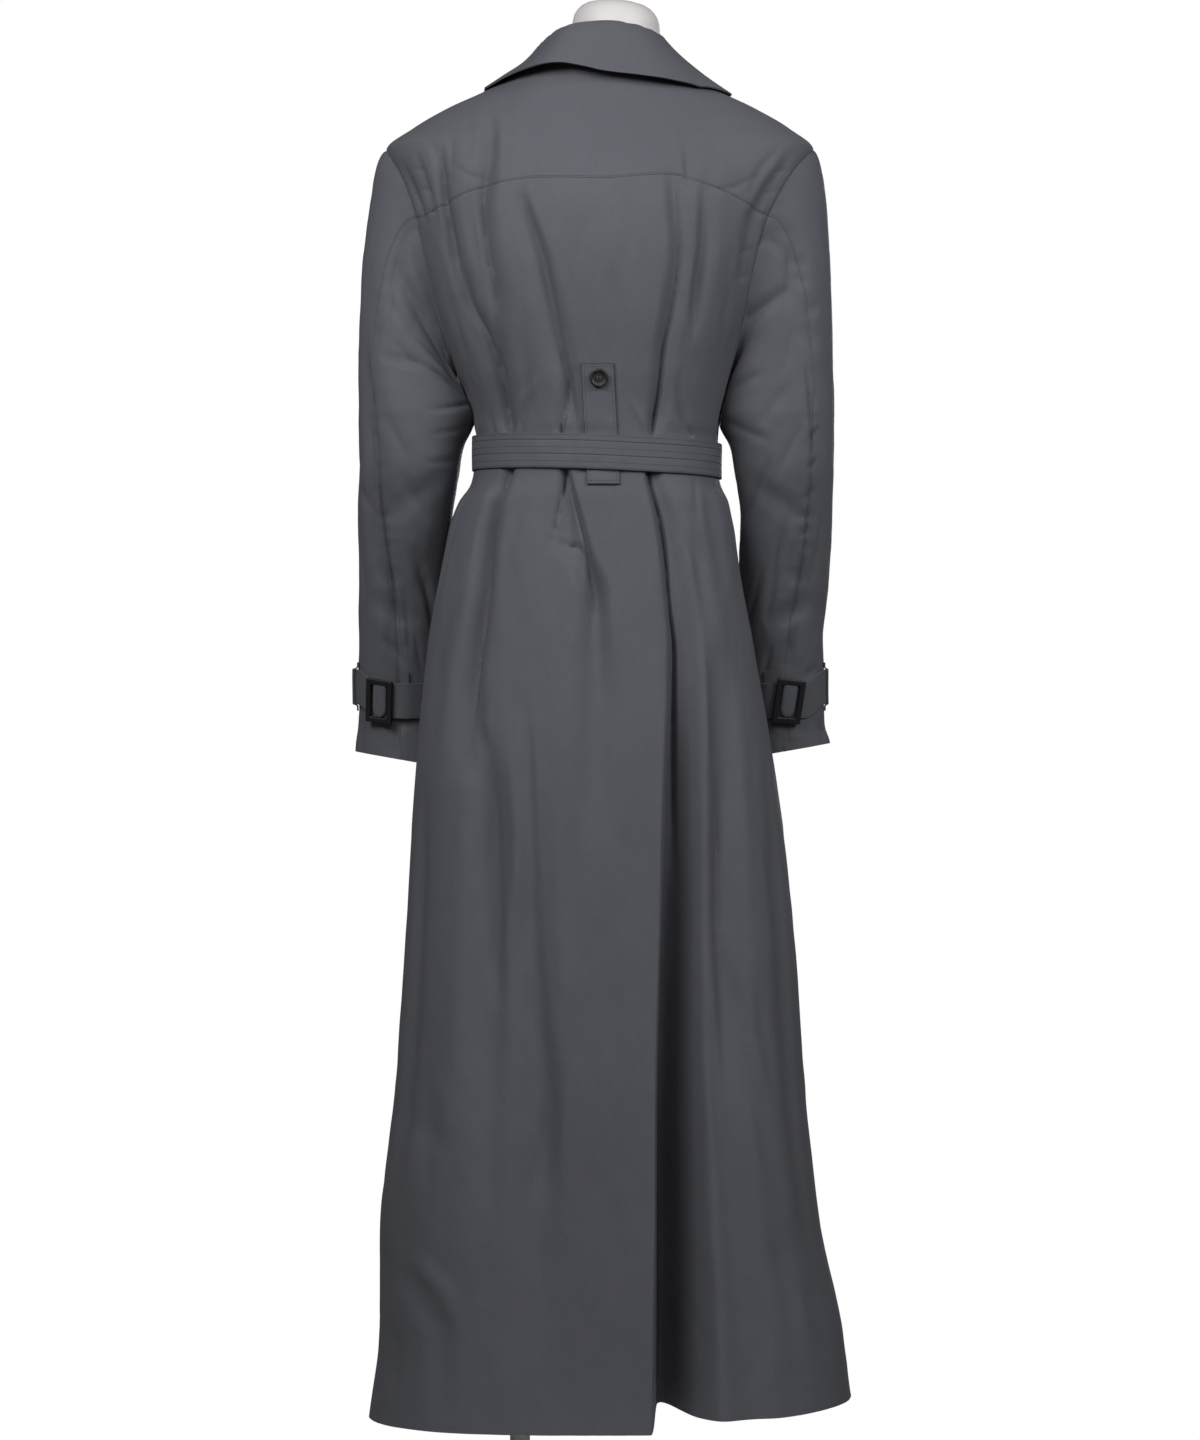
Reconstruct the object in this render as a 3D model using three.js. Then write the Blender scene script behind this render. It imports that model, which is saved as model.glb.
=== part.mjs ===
// A long belted trench coat on a limbless dress form, in millimetres.
// +Z is up, +X is the wearer's left, and the coat's front faces -Y. The origin is on the floor.
import * as THREE from 'three';

// Cloth and seams
const CLOTH = 1.6; // wall of one panel
const SEAM = 0.3; // space between two pieces at a seam
const ARMHOLE_SPACE = 0.5; // the same at the armhole, where the two pieces stand at an angle
const LYING = 0.6; // space under a piece that lies on a panel

// Heights on the coat
const HEM_Z = 115; // at the left of the back, where it hangs lowest
const HEM_EASE = 200; // the hem's lift elsewhere eases out over this height
const ARMPIT_Z = 1150;
const YOKE_END_Z = 1302; // where the yoke seam meets the armhole
const TIP_Z = 1374; // shoulder tip
const NECK_Z = 1460; // neck point of the shoulder seam
const NECK_BACK_DROP = 12; // the neckline is this much lower at the centre back
const CUFF_Z = 768;
const CUFF_TILT = 9; // a cuff's hem is higher by this much on its outer side
const CUFF_SHIFT = { left: -4, right: 4.5 }; // and as a whole

// Armhole: how far its back and front edges stand from the side line, as turns about the body
const ARMHOLE_BACK = { left: THREE.MathUtils.degToRad(13), right: THREE.MathUtils.degToRad(21) };
const ARMHOLE_FRONT = THREE.MathUtils.degToRad(24);

// Front opening
const LAP = 50; // each front passes the centre by this much
const BREAK_Z = 1180; // where the front edges start to turn back
const UNDER_LAP = 3.4; // the lower front lies this much further in
const UNDER_STEP = 22; // and steps in over this width
const EDGE_NECK = -56; // place of a front edge at the neck, past the centre
const LAPEL = { low: { left: 1316, right: 1188 }, high: 1378, width: 84, lift: 1.7, gorge: 36 };

// Belt and tab
const BELT_Z = 1067;
const BELT_TILT = 4; // higher on the wearer's left
const BELT_HEIGHT = 34;
const BELT_IN = 3.4; // inner face, over the cloth and the tab
const BELT_WALL = 2.2;
const TAB = { top: 1153, bottom: 1035, width: 32, lean: -6, x: 2.5, wall: 1.8 };
const TAB_BUTTON = { x: 1, z: 1139, space: 0.7 };
const BUTTON = { radius: 9.2, rim: 3.2, dish: 1.2, sides: 16 };

// Cuff straps, their buckles and loops; places round the sleeve are degrees from its outer side
// over the back to its inner side
const STRAP = { z: 825, height: 35, inner: 0.8, wall: 2 };
const BUCKLE_PLACE = { left: 63, right: 80 };
const BUCKLE_LIFT = 1.8; // over the strap, less what a flat frame dips at its middle
const LOOP_PLACES = { left: [93, 8], right: [104, 8] };
const CUFF_BUCKLE = { width: 29, height: 46, bar: 5.4, wall: 3.5 };
const LOOP = { width: 8, reach: 7, over: 3.4, wall: 1.2 };
const BELT_BUCKLE = { width: 46, height: 54, bar: 6, wall: 4 };

// Dress form
const BASE = { x: 25, radius: 185, height: 12 };
const POLE = { x: 80, radius: 10, bottom: BASE.height + SEAM };
const NECK = { x: -16, y: 4, radius: 44, top: 1523, lean: -0.1 };

// Sections of the body, a row for each height. Reach to the wearer's left and right, to the back
// and the front, and the power of the rounded section: 2 is an ellipse, more is squarer.
const SECTION_COLUMNS = ['z', 'left', 'right', 'back', 'front', 'power'];
const SECTIONS = [
  [115, 232, 250, 152, 150, 2.8],
  [200, 221, 241, 149, 148, 2.7],
  [300, 220, 221, 145, 145, 2.6],
  [425, 207, 207, 139, 140, 2.5],
  [585, 194, 195, 131, 132, 2.4],
  [745, 184, 176, 123, 124, 2.3],
  [885, 171, 153, 113, 114, 2.2],
  [965, 157, 139, 106, 105, 2.2],
  [1002, 149, 133, 103, 101, 2.2],
  [1022, 141, 128, 101, 98, 2.2],
  [1042, 128, 119, 98, 95, 2.2],
  [1092, 123, 118, 97, 94, 2.2],
  [1150, 143, 132, 107, 106, 2.2],
  [1210, 166, 154, 116, 115, 2.2],
  [1262, 182, 172, 119, 113, 2.2],
  [1302, 191, 186, 117, 107, 2.2],
  [1340, 202, 202, 110, 97, 2.2],
  [1374, 213, 214, 97, 84, 2.1],
  [1395, 187, 190, 88, 76, 2.1],
  [1415, 153, 156, 80, 68, 2],
  [1435, 110, 114, 73, 60, 2],
  [1470, 60, 64, 60, 50, 2],
];

// Long folds of the body. q is the place across the face, x on the back and the front, y on the
// sides; depth is inward when negative; plus and minus are the reach towards +q and -q.
const FOLD_COLUMNS = ['z', 'q', 'depth', 'plus', 'minus'];
const FOLDS = [
  { face: 'back', name: 'deep valley beside the lip', rows: [
    [100, -60, -88, 11, 58], [293, -63, -84, 11, 55], [451, -65, -74, 12, 52],
    [610, -70, -58, 14, 46], [727, -76, -38, 18, 38], [870, -80, -15, 16, 22],
    [950, -72, -10, 14, 18], [1010, -61, -8, 11, 15], [1048, -51, -5, 9, 12], [1062, -50, 0, 8, 10],
  ] },
  { face: 'back', name: 'fold down from the belt, left', rows: [
    [100, 112, -10, 42, 36], [530, 107, -14, 38, 32], [727, 108, -15, 30, 26],
    [827, 126, -15, 24, 20], [936, 114, -12, 20, 18], [1014, 104, -9, 16, 14],
    [1050, 90, -5, 12, 11], [1062, 88, 0, 10, 10],
  ] },
  { face: 'back', name: 'soft valley, left of the centre', rows: [
    [100, 60, -8, 30, 32], [360, 62, -14, 32, 34], [630, 64, -12, 28, 30], [760, 60, 0, 20, 22],
  ] },
  { face: 'back', name: 'fold from the belt, near the tab', rows: [
    [680, 4, 0, 26, 26], [800, 4, -7, 26, 26], [925, 6, -8, 18, 20], [985, 30, -8, 20, 22],
    [1040, 34, -5, 10, 10], [1058, 34, 0, 8, 8],
  ] },
  { face: 'back', name: 'soft valley on the right', rows: [
    [100, -150, -9, 24, 26], [437, -124, -13, 20, 26], [727, -122, -12, 18, 22], [880, -116, 0, 16, 18],
  ] },
  { face: 'back', name: 'blouse over the belt, left', rows: [
    [1084, 90, 0, 10, 10], [1100, 94, -8, 14, 14], [1145, 104, -10, 15, 15],
    [1216, 134, -8, 14, 14], [1250, 140, 0, 12, 12],
  ] },
  { face: 'back', name: 'drape from the collar, left', rows: [
    [1190, 102, 0, 14, 14], [1230, 112, -6, 17, 17], [1287, 124, -8, 18, 18],
    [1345, 116, -6, 16, 16], [1392, 108, 0, 12, 12],
  ] },
  { face: 'back', name: 'slanting drape, left', rows: [
    [1084, 26, 0, 9, 10], [1119, 28, -5, 11, 14], [1245, 55, -7, 15, 15], [1309, 76, -5, 14, 14],
    [1332, 80, 0, 12, 12],
  ] },
  { face: 'back', name: 'drape, right', rows: [
    [1084, -55, 0, 9, 9], [1105, -58, -7, 12, 12], [1173, -65, -7, 14, 14], [1260, -77, -6, 13, 13],
    [1326, -72, -4, 12, 12], [1350, -70, 0, 10, 10],
  ] },
  { face: 'back', name: 'outer drape, right', rows: [
    [1170, -92, 0, 12, 12], [1210, -96, -4, 14, 14], [1277, -104, -6, 14, 14], [1345, -104, 0, 12, 12],
  ] },
  { face: 'left', name: 'hollow beside the sleeve', rows: [
    [690, -55, 0, 48, 50], [770, -52, -16, 52, 50], [870, -40, -19, 50, 50], [940, -28, -9, 44, 46],
    [1000, -20, 0, 40, 40],
  ] },
  { face: 'right', name: 'hollow beside the sleeve', rows: [
    [690, -60, 0, 50, 50], [770, -54, -20, 56, 50], [870, -42, -21, 54, 50], [940, -30, -8, 44, 46],
    [1000, -20, 0, 40, 40],
  ] },
  { face: 'left', name: 'side fold', rows: [
    [100, 14, -14, 30, 34], [260, 10, -16, 28, 32], [480, 6, -9, 26, 30], [680, 0, 0, 22, 24],
  ] },
  { face: 'right', name: 'side fold', rows: [
    [100, -6, -15, 34, 30], [300, -4, -14, 32, 28], [520, 0, -8, 28, 26], [700, 0, 0, 22, 24],
  ] },
  { face: 'front', name: 'fold under the belt, left', rows: [
    [100, 118, -26, 34, 40], [430, 112, -22, 30, 34], [760, 98, -14, 24, 26], [980, 82, -7, 16, 18],
    [1050, 74, 0, 10, 12],
  ] },
  { face: 'front', name: 'fold under the belt, right', rows: [
    [100, -126, -30, 40, 34], [430, -116, -24, 34, 30], [760, -100, -15, 26, 24],
    [980, -84, -7, 18, 16], [1050, -76, 0, 12, 10],
  ] },
  { face: 'front', name: 'fold over the belt, left', rows: [
    [1084, 84, 0, 12, 12], [1120, 92, -8, 15, 15], [1220, 112, -6, 16, 16], [1280, 120, 0, 14, 14],
  ] },
  { face: 'front', name: 'fold over the belt, right', rows: [
    [1084, -80, 0, 12, 12], [1120, -86, -8, 15, 15], [1220, -104, -6, 16, 16], [1280, -112, 0, 14, 14],
  ] },
];

// Lines that the columns of the back follow, a row for each height: the lines run along the folds.
const GUIDES = [
  [115, -118, -60, -49, 6, 62, 116],
  [451, -118, -65, -53, 6, 64, 110],
  [727, -114, -76, -59, 5, 60, 110],
  [870, -104, -80, -65, 6, 50, 124],
  [965, -94, -70, -57, 9, 42, 112],
  [1045, -78, -51, -42, 12, 34, 90],
  [1092, -80, -56, -44, 8, 27, 92],
  [1210, -96, -70, -54, 5, 46, 114],
  [1302, -104, -76, -56, 0, 74, 124],
];
const GUIDE_STEPS = [6, 4, 3, 5, 4, 4, 7]; // columns between one guide and the next

// How far the hem hangs above its lowest line, at places across the back and across the front
const HEM_LIFT = {
  back: [[-250, 19], [-170, 13], [-100, 13], [-62, 19], [-49, 0], [235, 0]],
  front: [[-250, 19], [-120, 5], [0, 0], [235, 0]],
};

// Rows of the body panels
const SKIRT_ROWS = [115, 180, 270, 370, 470, 570, 660, 740, 810, 870, 925, 980, 1045, 1090, 1118, 1150];
const ARMHOLE_ROWS = [1150, 1157, 1172, 1200, 1235, 1270, 1302, 1332, 1356, 1369, 1374];
const SHOULDER_ROWS = [1374, 1387, 1402, 1420, 1440, 1460];

// Yoke seam: its height at places across the back
const YOKE_SEAM = [
  [-165, YOKE_END_Z], [-112, 1326], [-70, 1337], [0, 1333], [60, 1334], [111, 1328], [147, 1314],
  [175, YOKE_END_Z],
];

// Sleeves, a row for each height: centre and half sizes, in x and in y
const SLEEVE_COLUMNS = ['z', 'x', 'y', 'across', 'deep', 'seam'];
const SLEEVES = {
  left: [
    [1110, 192, -4, 50, 52, 42], [1065, 191, -9, 50, 52, 48], [1005, 196, -26, 47, 49, 60],
    [945, 197, -46, 46, 47, 74], [885, 198, -64, 46, 46, 82], [845, 199, -76, 47, 46, 85],
    [805, 199, -86, 47, 46, 86], [768, 197, -94, 52, 50, 88],
  ],
  right: [
    [1110, 184, -4, 50, 52, 56], [1065, 184, -9, 50, 52, 57], [1005, 187, -26, 46, 49, 64],
    [945, 185, -46, 46, 47, 72], [885, 181, -66, 46, 46, 80], [845, 181, -80, 47, 46, 84],
    [805, 182, -90, 47, 46, 86], [768, 183, -98, 52, 50, 88],
  ],
};
const SLEEVE_RADIUS = 48; // mean, to turn degrees into a length round the sleeve
const CAP_RINGS = 5; // rings between the armhole and the first row of the table
const SLEEVE_RINGS = [1085, 1060, 1030, 1000, 968, 935, 900, 868, 845, 825, 805, 785, CUFF_Z];
const BACK_SEAM = 6; // column of the seam at the back of the sleeve
const FRONT_SEAM = 17; // column of the seam inside the front

// Creases of a sleeve: from one place round it and height to another, as degrees from the outer
// side over the back to the inner side, with half width and depth
const SLEEVE_CREASES = [
  { from: [92, 1196], to: [156, 1130], half: 13, depth: -7 },
  { from: [96, 1112], to: [165, 1122], half: 11, depth: -6 },
  { from: [78, 1072], to: [168, 1098], half: 12, depth: -6 },
  { from: [60, 1010], to: [150, 1056], half: 14, depth: -5 },
  { from: [-60, 1120], to: [-150, 1075], half: 14, depth: -6 },
  { from: [40, 930], to: [110, 900], half: 15, depth: -4 },
];

// Collar, a row for each station round the neck: the top of its turn, and the edge of its fall,
// whose left wing stands off the shoulder
const COLLAR = [
  { turn: -168, top: [-31, -84, 1391], edge: [-88, -88, 1340] },
  { turn: -140, top: [-46, -62, 1435], edge: [-106, -64, 1380] },
  { turn: -115, top: [-61, -32, 1468], edge: [-122, -34, 1410] },
  { turn: -90, top: [-67, 2, 1475], edge: [-131, 4, 1420] },
  { turn: -60, top: [-60, 36, 1481], edge: [-98, 52, 1429] },
  { turn: -30, top: [-34, 62, 1489], edge: [-50, 80, 1437] },
  { turn: 0, top: [-4, 69, 1492], edge: [-2, 86, 1441] },
  { turn: 30, top: [28, 63, 1489], edge: [42, 81, 1449] },
  { turn: 60, top: [52, 40, 1480], edge: [80, 58, 1445] },
  { turn: 90, top: [65, 4, 1469], edge: [114, 12, 1434] },
  { turn: 115, top: [60, -30, 1465], edge: [116, -30, 1410] },
  { turn: 140, top: [46, -62, 1435], edge: [104, -64, 1380] },
  { turn: 168, top: [31, -84, 1391], edge: [88, -88, 1340] },
];
const COLLAR_SEAT = { space: 0.9, corner: 2.9, over: 2.2, drop: 78 }; // how its seam sits
const EDGE_CLEAR = 7; // the fall's edge stays at least this far over the shoulder
const FALL_CLEAR = 5; // the fall stays this far over the shoulder
const COLLAR_STATIONS = 28;
const COLLAR_TURN = 3.5; // radius of the turn at the top

// Colours
const CHARCOAL = 0x4b4c52;
const HORN = 0x1d1a1b;
const BLACK_PLASTIC = 0x17181a;
const FORM_WHITE = 0xe9e7e5;
const STEEL = 0x8b8d8e;

const vec = (x, y, z) => new THREE.Vector3(x, y, z);
const lerp = THREE.MathUtils.lerp;
const rad = THREE.MathUtils.degToRad;

// A smooth curve through the rows of a table that never swings past them
function track(knots, values) {
  const steps = knots.slice(1).map((k, i) => (values[i + 1] - values[i]) / (k - knots[i]));
  const slopes = knots.map((k, i) => {
    if (i === 0) return steps[0];
    if (i === knots.length - 1) return steps[i - 1];
    const product = steps[i - 1] * steps[i];
    return product <= 0 ? 0 : (2 * product) / (steps[i - 1] + steps[i]);
  });
  return (at) => {
    const k = Math.min(Math.max(at, knots[0]), knots[knots.length - 1]);
    let i = 0;
    while (i < knots.length - 2 && k > knots[i + 1]) i += 1;
    const span = knots[i + 1] - knots[i];
    const t = (k - knots[i]) / span;
    const start = values[i] * (1 + 2 * t) + slopes[i] * span * t;
    const end = values[i + 1] * (3 - 2 * t) - slopes[i + 1] * span * (1 - t);
    return start * (1 - t) * (1 - t) + end * t * t;
  };
}

// The columns of a table after its first, each as a smooth curve over that first column
function tracks(rows, names) {
  const knots = rows.map((row) => row[0]);
  const out = {};
  names.slice(1).forEach((name, i) => {
    out[name] = track(knots, rows.map((row) => row[i + 1]));
  });
  return out;
}

const section = tracks(SECTIONS, SECTION_COLUMNS);
const folds = FOLDS.map((fold) => ({
  face: fold.face,
  low: fold.rows[0][0],
  high: fold.rows[fold.rows.length - 1][0],
  ...tracks(fold.rows, FOLD_COLUMNS),
}));
const guides = GUIDES[0].slice(1).map((x, i) => track(GUIDES.map((r) => r[0]), GUIDES.map((r) => r[i + 1])));
const overPlaces = (rows) => track(rows.map((r) => r[0]), rows.map((r) => r[1]));
const yokeSeam = overPlaces(YOKE_SEAM);
const hemLift = { back: overPlaces(HEM_LIFT.back), front: overPlaces(HEM_LIFT.front) };

// The plain section: a point at a turn from the centre back towards the wearer's left
function sectionPoint(turn, z) {
  const across = Math.sin(turn) >= 0 ? section.left(z) : section.right(z);
  const along = Math.cos(turn) >= 0 ? section.back(z) : section.front(z);
  const power = section.power(z);
  const sum = Math.abs(Math.sin(turn) / across) ** power + Math.abs(Math.cos(turn) / along) ** power;
  const radius = sum ** (-1 / power);
  return vec(radius * Math.sin(turn), radius * Math.cos(turn), z);
}

// How much a fold on one face counts at a turn
function faceWeight(face, turn) {
  const side = { back: Math.cos(turn), front: -Math.cos(turn), left: Math.sin(turn), right: -Math.sin(turn) };
  const start = face === 'back' || face === 'front' ? 0.12 : 0.35;
  return THREE.MathUtils.smoothstep(side[face], start, start + 0.3);
}

// Sum of the folds at a point: each is a soft cosine trough across its line
function foldDepth(turn, p) {
  let depth = 0;
  for (const fold of folds) {
    if (p.z < fold.low || p.z > fold.high) continue;
    const q = fold.face === 'back' || fold.face === 'front' ? p.x : p.y;
    const off = q - fold.q(p.z);
    const share = off / (off > 0 ? fold.plus(p.z) : fold.minus(p.z));
    if (Math.abs(share) >= 1) continue;
    depth += fold.depth(p.z) * Math.cos((Math.PI / 2) * share) ** 2 * faceWeight(fold.face, turn);
  }
  return depth;
}

// The cloth's outer face without its normal: the section, moved level in or out by the folds
function clothPoint(turn, z) {
  const p = sectionPoint(turn, z);
  const next = sectionPoint(turn + 0.01, z).sub(sectionPoint(turn - 0.01, z));
  const out = vec(-next.y, next.x, 0).normalize();
  const lift = hemLift[p.y >= 0 ? 'back' : 'front'](p.x);
  const share = THREE.MathUtils.clamp((z - HEM_Z) / HEM_EASE, 0, 1);
  p.addScaledVector(out, foldDepth(turn, p));
  return p.setZ(z + lift * (1 - share) ** 2);
}

// A point of the coat's outer face, with its normal
function cloth(turn, z, lift = 0) {
  const place = sectionPoint(turn, z);
  const step = 1 / Math.hypot(place.x, place.y);
  const round = clothPoint(turn + step, z).sub(clothPoint(turn - step, z));
  const up = clothPoint(turn, z + 1.5).sub(clothPoint(turn, z - 1.5));
  const n = up.cross(round).normalize();
  return { p: clothPoint(turn, z).addScaledVector(n, lift), n };
}

// The turn at which the plain back or front section passes a place across it
function turnAt(x, z, front = false) {
  const across = x >= 0 ? section.left(z) : section.right(z);
  const along = front ? section.front(z) : section.back(z);
  const power = section.power(z);
  const share = Math.min(Math.abs(x / across), 0.999);
  const y = along * (1 - share ** power) ** (1 / power);
  return front ? Math.PI - Math.atan2(x, y) : Math.atan2(x, y);
}

// Turn of the edge between a panel and the sleeve, or of the side and shoulder seams
function armholeTurn(z, widest) {
  const t = (z - ARMPIT_Z) / (TIP_Z - ARMPIT_Z);
  if (t <= 0 || t >= 1) return Math.PI / 2;
  return Math.PI / 2 - widest * Math.sqrt(4 * t * (1 - t));
}

// A closed solid from a grid of outer points and the same grid moved in along its normals
function shell(grid, wall, { closed = false } = {}) {
  const rows = grid.length;
  const cols = grid[0].length;
  const outer = grid.flat();
  const positions = [];
  for (const { p } of outer) positions.push(p.x, p.y, p.z);
  for (const { p, n } of outer) positions.push(p.x - n.x * wall, p.y - n.y * wall, p.z - n.z * wall);
  const at = (i, j) => i * cols + (j % cols);
  const inside = rows * cols;
  const faces = [];
  const quad = (a, b, c, d) => faces.push(a, b, c, a, c, d);
  const last = closed ? cols : cols - 1;
  for (let i = 0; i < rows - 1; i += 1) {
    for (let j = 0; j < last; j += 1) {
      const [a, b, c, d] = [at(i, j), at(i + 1, j), at(i + 1, j + 1), at(i, j + 1)];
      quad(a, b, c, d);
      quad(inside + a, inside + d, inside + c, inside + b);
    }
  }
  for (let j = 0; j < last; j += 1) {
    quad(at(0, j), at(0, j + 1), inside + at(0, j + 1), inside + at(0, j));
    quad(at(rows - 1, j + 1), at(rows - 1, j), inside + at(rows - 1, j), inside + at(rows - 1, j + 1));
  }
  if (!closed) {
    for (let i = 0; i < rows - 1; i += 1) {
      quad(at(i + 1, 0), at(i, 0), inside + at(i, 0), inside + at(i + 1, 0));
      quad(at(i, cols - 1), at(i + 1, cols - 1), inside + at(i + 1, cols - 1), inside + at(i, cols - 1));
    }
  }
  return solid(positions, faces);
}

// Geometry with its faces turned out, whichever way the grid ran
function solid(positions, faces) {
  let volume = 0;
  const corner = (i) => vec(positions[3 * i], positions[3 * i + 1], positions[3 * i + 2]);
  for (let f = 0; f < faces.length; f += 3) {
    volume += corner(faces[f]).dot(corner(faces[f + 1]).cross(corner(faces[f + 2])));
  }
  const turned = volume < 0 ? faces.slice().reverse() : faces;
  const geometry = new THREE.BufferGeometry();
  geometry.setAttribute('position', new THREE.Float32BufferAttribute(positions, 3));
  geometry.setIndex(turned);
  geometry.computeVertexNormals();
  return geometry;
}

// Normals of a grid of points from its neighbours; side is 1 or -1 for the way that is out
function withNormals(points, side, closed) {
  const rows = points.length;
  const cols = points[0].length;
  return points.map((row, i) => row.map((p, j) => {
    const before = closed ? row[(j + cols - 1) % cols] : row[Math.max(j - 1, 0)];
    const after = closed ? row[(j + 1) % cols] : row[Math.min(j + 1, cols - 1)];
    const up = points[Math.min(i + 1, rows - 1)][j].clone().sub(points[Math.max(i - 1, 0)][j]);
    const n = up.cross(after.clone().sub(before)).multiplyScalar(side).normalize();
    return { p, n };
  }));
}

// Turns of the back's columns at a height: they keep to the guides between the two edges
function backTurns(z) {
  const gap = z < ARMPIT_Z || z >= TIP_Z ? SEAM / 2 / section.left(z) : 0;
  const right = armholeTurn(z, ARMHOLE_BACK.right) - gap;
  const left = armholeTurn(z, ARMHOLE_BACK.left) - gap;
  const marks = [-right, ...guides.map((guide) => turnAt(guide(z), z)), left];
  const turns = [marks[0]];
  GUIDE_STEPS.forEach((steps, i) => {
    for (let k = 1; k <= steps; k += 1) turns.push(lerp(marks[i], marks[i + 1], k / steps));
  });
  return turns;
}

// Back panel: level rows up to the armpit, then rows that rise to the yoke seam
function backPanel() {
  const grid = SKIRT_ROWS.map((z) => backTurns(z).map((turn) => cloth(turn, z)));
  const upper = ARMHOLE_ROWS.filter((z) => z > ARMPIT_Z && z <= YOKE_END_Z);
  for (const z of upper) {
    const share = (z - ARMPIT_Z) / (YOKE_END_Z - ARMPIT_Z);
    grid.push(backTurns(z).map((turn) => {
      const top = yokeSeam(sectionPoint(turn, z).x) - SEAM / 2;
      return cloth(turn, lerp(ARMPIT_Z, top, share));
    }));
  }
  return shell(grid, CLOTH);
}

// Back yoke: from the yoke seam up to the armhole, the shoulder seam and the neck
function backYoke() {
  const base = backTurns(YOKE_END_Z);
  const rows = [...ARMHOLE_ROWS.filter((z) => z >= YOKE_END_Z), ...SHOULDER_ROWS.slice(1)];
  return shell(rows.map((z) => {
    const share = (z - YOKE_END_Z) / (NECK_Z - YOKE_END_Z);
    const gap = z >= TIP_Z ? SEAM / 2 / section.left(z) : 0;
    return base.map((start) => {
      const widest = start < 0 ? ARMHOLE_BACK.right : ARMHOLE_BACK.left;
      const turn = (start * (armholeTurn(z, widest) - gap)) / armholeTurn(YOKE_END_Z, widest);
      const low = yokeSeam(sectionPoint(start, YOKE_END_Z).x) + SEAM / 2;
      const high = NECK_Z - NECK_BACK_DROP * Math.cos(turn) ** 2;
      return cloth(turn, lerp(low, high, share));
    });
  }), CLOTH);
}

// Place across the front of a front edge: straight up to the break, then slanting to the neck
function edgePlace(z) {
  if (z <= BREAK_Z) return LAP;
  const t = (z - BREAK_Z) / (NECK_Z - BREAK_Z);
  return lerp(LAP, EDGE_NECK, t);
}

// Turn of a front edge; side is 1 for the wearer's left front
function edgeTurn(z, side) {
  const x = -side * edgePlace(z);
  const turn = turnAt(x, z, true);
  return side > 0 ? turn : turn - 2 * Math.PI;
}

// A point of a front; the lower front steps in under the other one
function frontCloth(turn, z, side, lift = 0) {
  const place = sectionPoint(turn, z);
  const covered = edgePlace(z) + 32 - place.x; // how far the point lies in under the other front
  const under = side > 0 && place.y < 0 ? THREE.MathUtils.smoothstep(covered, 0, UNDER_STEP) : 0;
  return cloth(turn, z, lift - UNDER_LAP * under);
}

const FRONT_COLUMNS = 11;

function front(side) {
  const rows = [...SKIRT_ROWS, ...ARMHOLE_ROWS.slice(1), ...SHOULDER_ROWS.slice(1)];
  return shell(rows.map((z) => {
    const inArmhole = z > ARMPIT_Z && z < TIP_Z;
    const gap = inArmhole ? 0 : SEAM / 2 / section.left(z);
    const start = Math.PI - armholeTurn(z, ARMHOLE_FRONT) + gap;
    const end = Math.abs(edgeTurn(z, side));
    const row = [];
    for (let j = 0; j <= FRONT_COLUMNS; j += 1) {
      row.push(frontCloth(side * lerp(start, end, j / FRONT_COLUMNS), z, side));
    }
    return row;
  }), CLOTH);
}

// Sleeve: rings from the armhole, over the cap, down to the cuff
function sleeveTracks(side) {
  return tracks([...SLEEVES[side > 0 ? 'left' : 'right']].reverse(), SLEEVE_COLUMNS);
}

// Turns of a ring's columns, in degrees from the outer side over the back to the inner side
function ringDegrees(seam) {
  const half = ARMHOLE_ROWS.length - 1;
  const degrees = [];
  for (let j = 0; j < 2 * half; j += 1) {
    if (j <= BACK_SEAM) degrees.push(lerp(180, seam, j / BACK_SEAM));
    else if (j <= half) degrees.push(lerp(seam, 0, (j - BACK_SEAM) / (half - BACK_SEAM)));
    else degrees.push(-(180 / half) * (j - half));
  }
  return degrees;
}

// Depth of the creases at a place round the sleeve and a height
function creaseDepth(degrees, z) {
  const radius = SLEEVE_RADIUS;
  let depth = 0;
  for (const { from, to, half, depth: most } of SLEEVE_CREASES) {
    const [ax, az] = [rad(from[0]) * radius, from[1]];
    const [bx, bz] = [rad(to[0]) * radius, to[1]];
    const px = rad(degrees) * radius;
    const long = (bx - ax) ** 2 + (bz - az) ** 2;
    const t = ((px - ax) * (bx - ax) + (z - az) * (bz - az)) / long;
    if (t < 0 || t > 1) continue;
    const off = Math.hypot(px - lerp(ax, bx, t), z - lerp(az, bz, t)) / half;
    if (off < 1) depth += most * Math.cos((Math.PI / 2) * off) ** 2 * Math.sin(Math.PI * t);
  }
  return depth;
}

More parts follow.
